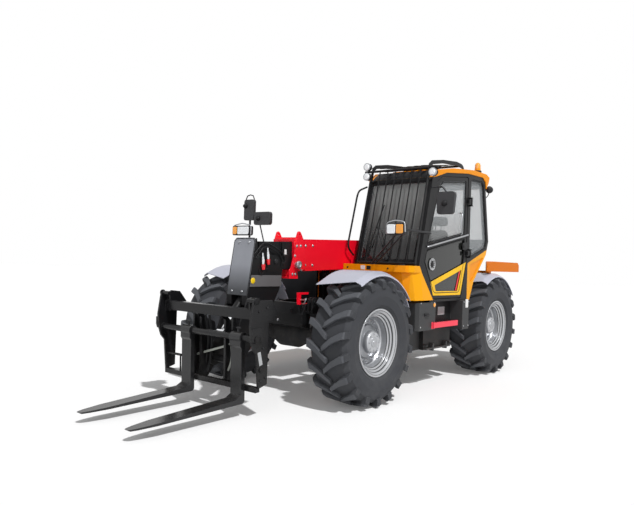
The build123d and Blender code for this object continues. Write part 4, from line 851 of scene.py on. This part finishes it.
piece("hood_latches", [sidePlate(rectangle(x - 0.03, 0.72, x + 0.03, 0.8), hood["face"], -0.01, 0.015)
                       for x in hood["latches"]], "plastic", "hood", 0.002)
rear, front = hood["handle"]
feet = hood["face"] + 0.001
handleRun = ((rear, feet), (rear, hood["out"]), (front, hood["out"]), (front, feet))
piece("hood_handle", [tube([(x, y, 0.83) for x, y in handleRun], hood["rod"])], "plastic", "hood")
piece("frame_hook", [
    tube([(1.0, 0.34, 1.0), (1.0, 0.4, 1.0), (1.02, 0.44, 1.021), (1.035, 0.44, 1.0), (1.02, 0.42, 0.97),
          (0.99, 0.36, 0.955)], 0.007)], "steel")
piece("frame_bolts", [
    bolts([(x, side * 0.2252, z) for x, z in ((1.2, 0.8), (0.75, 0.88), (0.62, 0.88))], (0, side, 0), 0.013,
          0.011) for side in (-1, 1)], "steel")
print("body details done")

# carriage: a rod and hoses between its plates, pin heads and bolts on them, and the forks' stops
carriage = {
    "face": 0.66, "rodX": 1.8, "rod": 0.011, "hose": 0.01, "lowHoses": (-0.19, -0.135, 0.075),
    "bolts": ((1.8, 0.36), (1.86, 0.34), (1.84, 0.62), (1.9, 0.94), (1.8, 0.97))}
rodX = carriage["rodX"]
piece("carriage_rod", [
    tube([(rodX, -0.262, 0.455), (rodX, 0.1, 0.565), (rodX, 0.162, 0.585)], carriage["rod"]),
    lathe([(0, 0.018), (0.035, 0.018), (0.04, 0.012)], (rodX, 0.125, 0.572), (0, 0.95, 0.3), 20)],
    "pale", "carriage")
hoseRun = ((0.186, 0.6), (0.215, 0.6), (0.225, 0.52), (0.222, 0.436), (0.186, 0.36), (0.16, 0.345))
piece("carriage_hose", [tube([(rodX, y, z) for y, z in hoseRun], carriage["hose"], 0.05)], "pale", "carriage")
piece("carriage_hoses_low", [
    tube([(rodX - 0.02, y, 0.3), (rodX - 0.03, y + 0.03, 0.42), (rodX - 0.02, y + 0.06, 0.6),
          (rodX + 0.02, y + 0.05, 0.85)], 0.011, 0.06) for y in carriage["lowHoses"]], "hose", "carriage")
piece("carriage_label", [
    sidePlate([(1.905, 0.585), (1.868, 0.592), (1.838, 0.478), (1.875, 0.468)], carriage["face"] - 0.0002,
              0.002, 0.004)], "label", "carriage")
# each pin head's place in side view, its radius and how far its seat stands off the plate
pinHeads = [(1.94, 1.03, 0.03, 0), (1.93, 0.7, 0.034, 0.0205), (1.86, 0.43, 0.018, 0)]
piece("carriage_pins", [
    lathe([(-0.002, radius), (0.01, radius), (0.014, radius * 0.8), (0.014, radius * 0.35)],
          (x, side * (carriage["face"] + lifted), z), (0, side, 0), 24)
    for x, z, radius, lifted in pinHeads for side in (-1, 1)], "black", "carriage")
piece("carriage_bolts", [
    bolts([(x, side * carriage["face"], z) for x, z in carriage["bolts"]], (0, side, 0), 0.011, 0.01)
    for side in (-1, 1)], "plastic", "carriage")
for name in ("fork_right", "fork_left"):
    low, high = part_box(name)
    middle = (low[1] + high[1]) / 2
    piece(name + "_stop", [
        lathe([(0, 0.011), (0.03, 0.011), (0.034, 0.016), (0.046, 0.016), (0.05, 0.01)],
              (1.93, middle, high[2] - 0.004), (0, 0, 1), 16),
        tube([(1.93, middle + across, high[2] + 0.035) for across in (-0.03, 0.03)], 0.006, 0, 8)],
        "plastic", name)
print("carriage done")

# seat: three cushions swollen by the cloth solver, on a frame with a pedestal
seat = {
    "voxel": 0.007, "pressure": 4.0, "most": 0.024 * 0.33, "frames": 20, "fill": 0.6, "inset": 0.008,
    "lean": math.radians(10.2), "columns": 64, "rows": 32, "end": 0.497, "square": 0.35, "dome": 0.6,
    "dip": 0.15, "frame": 0.012, "post": 0.006}


# A closed pillow: x, y and z are signed powers of the sines and cosines of two angles, which squares its corners.
def pillow(centre, half, lean):
    u, v = np.meshgrid(np.linspace(0, 2 * math.pi, seat["columns"], endpoint=False),
                       np.linspace(-seat["end"], seat["end"], seat["rows"]) * math.pi)

    def power(value, share):
        return np.sign(value) * np.abs(value) ** share

    x = half[0] * power(np.cos(v), seat["square"]) * power(np.cos(u), seat["square"])
    y = half[1] * power(np.cos(v), seat["square"]) * power(np.sin(u), seat["square"])
    z = half[2] * power(np.sin(v), seat["dome"]) * (1 - seat["dip"] * (x / half[0]) ** 2 * (y / half[1]) ** 2)
    return closedGrid(np.stack([centre[0] + x * math.cos(lean) + z * math.sin(lean), centre[1] + y,
                                centre[2] - x * math.sin(lean) + z * math.cos(lean)], -1))


# Applies an object's modifiers to its mesh.
def bake(made):
    graph = bpy.context.evaluated_depsgraph_get()
    mesh = bpy.data.meshes.new_from_object(made.evaluated_get(graph))
    made.modifiers.clear()
    made.data = mesh
    return mesh


# A mesh's points, as rows of three.
def coordinates(mesh):
    flat = np.empty(len(mesh.vertices) * 3, np.float32)
    mesh.vertices.foreach_get("co", flat)
    return flat.reshape(-1, 3)


# A pillow blown up from within: no point moves further than the most that the settings allow.
def cushion(name, centre, half, lean):
    made = piece(name, [pillow(centre, [h - seat["inset"] for h in half], lean)], "cloth")
    remesh = made.modifiers.new("remesh", "REMESH")
    remesh.voxel_size = seat["voxel"] * 1
    before = coordinates(bake(made))
    cloth = made.modifiers.new("cloth", "CLOTH")
    cloth.settings.use_pressure = True
    cloth.settings.uniform_pressure_force = seat["pressure"]
    cloth.settings.effector_weights.gravity = 0
    cloth.point_cache.frame_end = seat["frames"]
    for frameNumber in range(1, seat["frames"] + 1):
        bpy.context.scene.frame_set(frameNumber)
    mesh = bake(made)
    bpy.context.scene.frame_set(1)
    moved = coordinates(mesh) - before
    size = np.linalg.norm(moved, axis=1, keepdims=True)
    held = before + moved * np.minimum(1, seat["most"] / np.maximum(size, 1e-9))
    mesh.vertices.foreach_set("co", held.ravel())
    made.data.shade_smooth()
    finer = made.modifiers.new("smoother", "SUBSURF")
    finer.levels = finer.render_levels = 1
    return made


base = cushion("seat_cushion", (-1.05, 0.62, 1.395), (0.235, 0.225, 0.045), 0)
cushion("seat_back", (-1.275, 0.62, 1.665), (0.2, 0.2, 0.045), math.pi / 2 + seat["lean"])
cushion("seat_head", (-1.338, 0.62, 1.965), (0.07, 0.14, 0.04), math.pi / 2 + seat["lean"])
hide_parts("seat")
piece("seat_base", [lathe([(0, 0.2), (0.012, 0.2), (0.016, 0.19)], (-1.05, 0.62, 1.321), (0, 0, 1), 4)] + [
    tube([(-1.1, y, 1.34), (-1.27, y, 1.34), (-1.335, y, 1.66)], seat["frame"]) for y in (0.5, 0.74)] + [
    tube([(-1.33, y, 1.82), (-1.355, y, 1.92)], seat["post"]) for y in (0.58, 0.66)], "plastic")
print("seat done")

# floor: it takes the shadow, and is lifted a little towards the white round it
ground = {"half": 60, "colour": (0.92, 0.92, 0.92), "rough": 0.9, "specular": 0.1, "lift": 0.09}
half = ground["half"]
floorMesh = bpy.data.meshes.new("floor")
floorMesh.from_pydata([(x, y, 0) for x, y in rectangle(-half, -half, half, half)], [], [(0, 1, 2, 3)])
floorMesh.materials.append(newMaterial("floor", lambda tree: {
    "Base Color": ground["colour"], "Roughness": ground["rough"], "Specular IOR Level": ground["specular"],
    "Emission Color": (1, 1, 1), "Emission Strength": calc(tree, "MULTIPLY", seenByCamera(tree), ground["lift"])}))
floor = placeObject("floor", floorMesh)
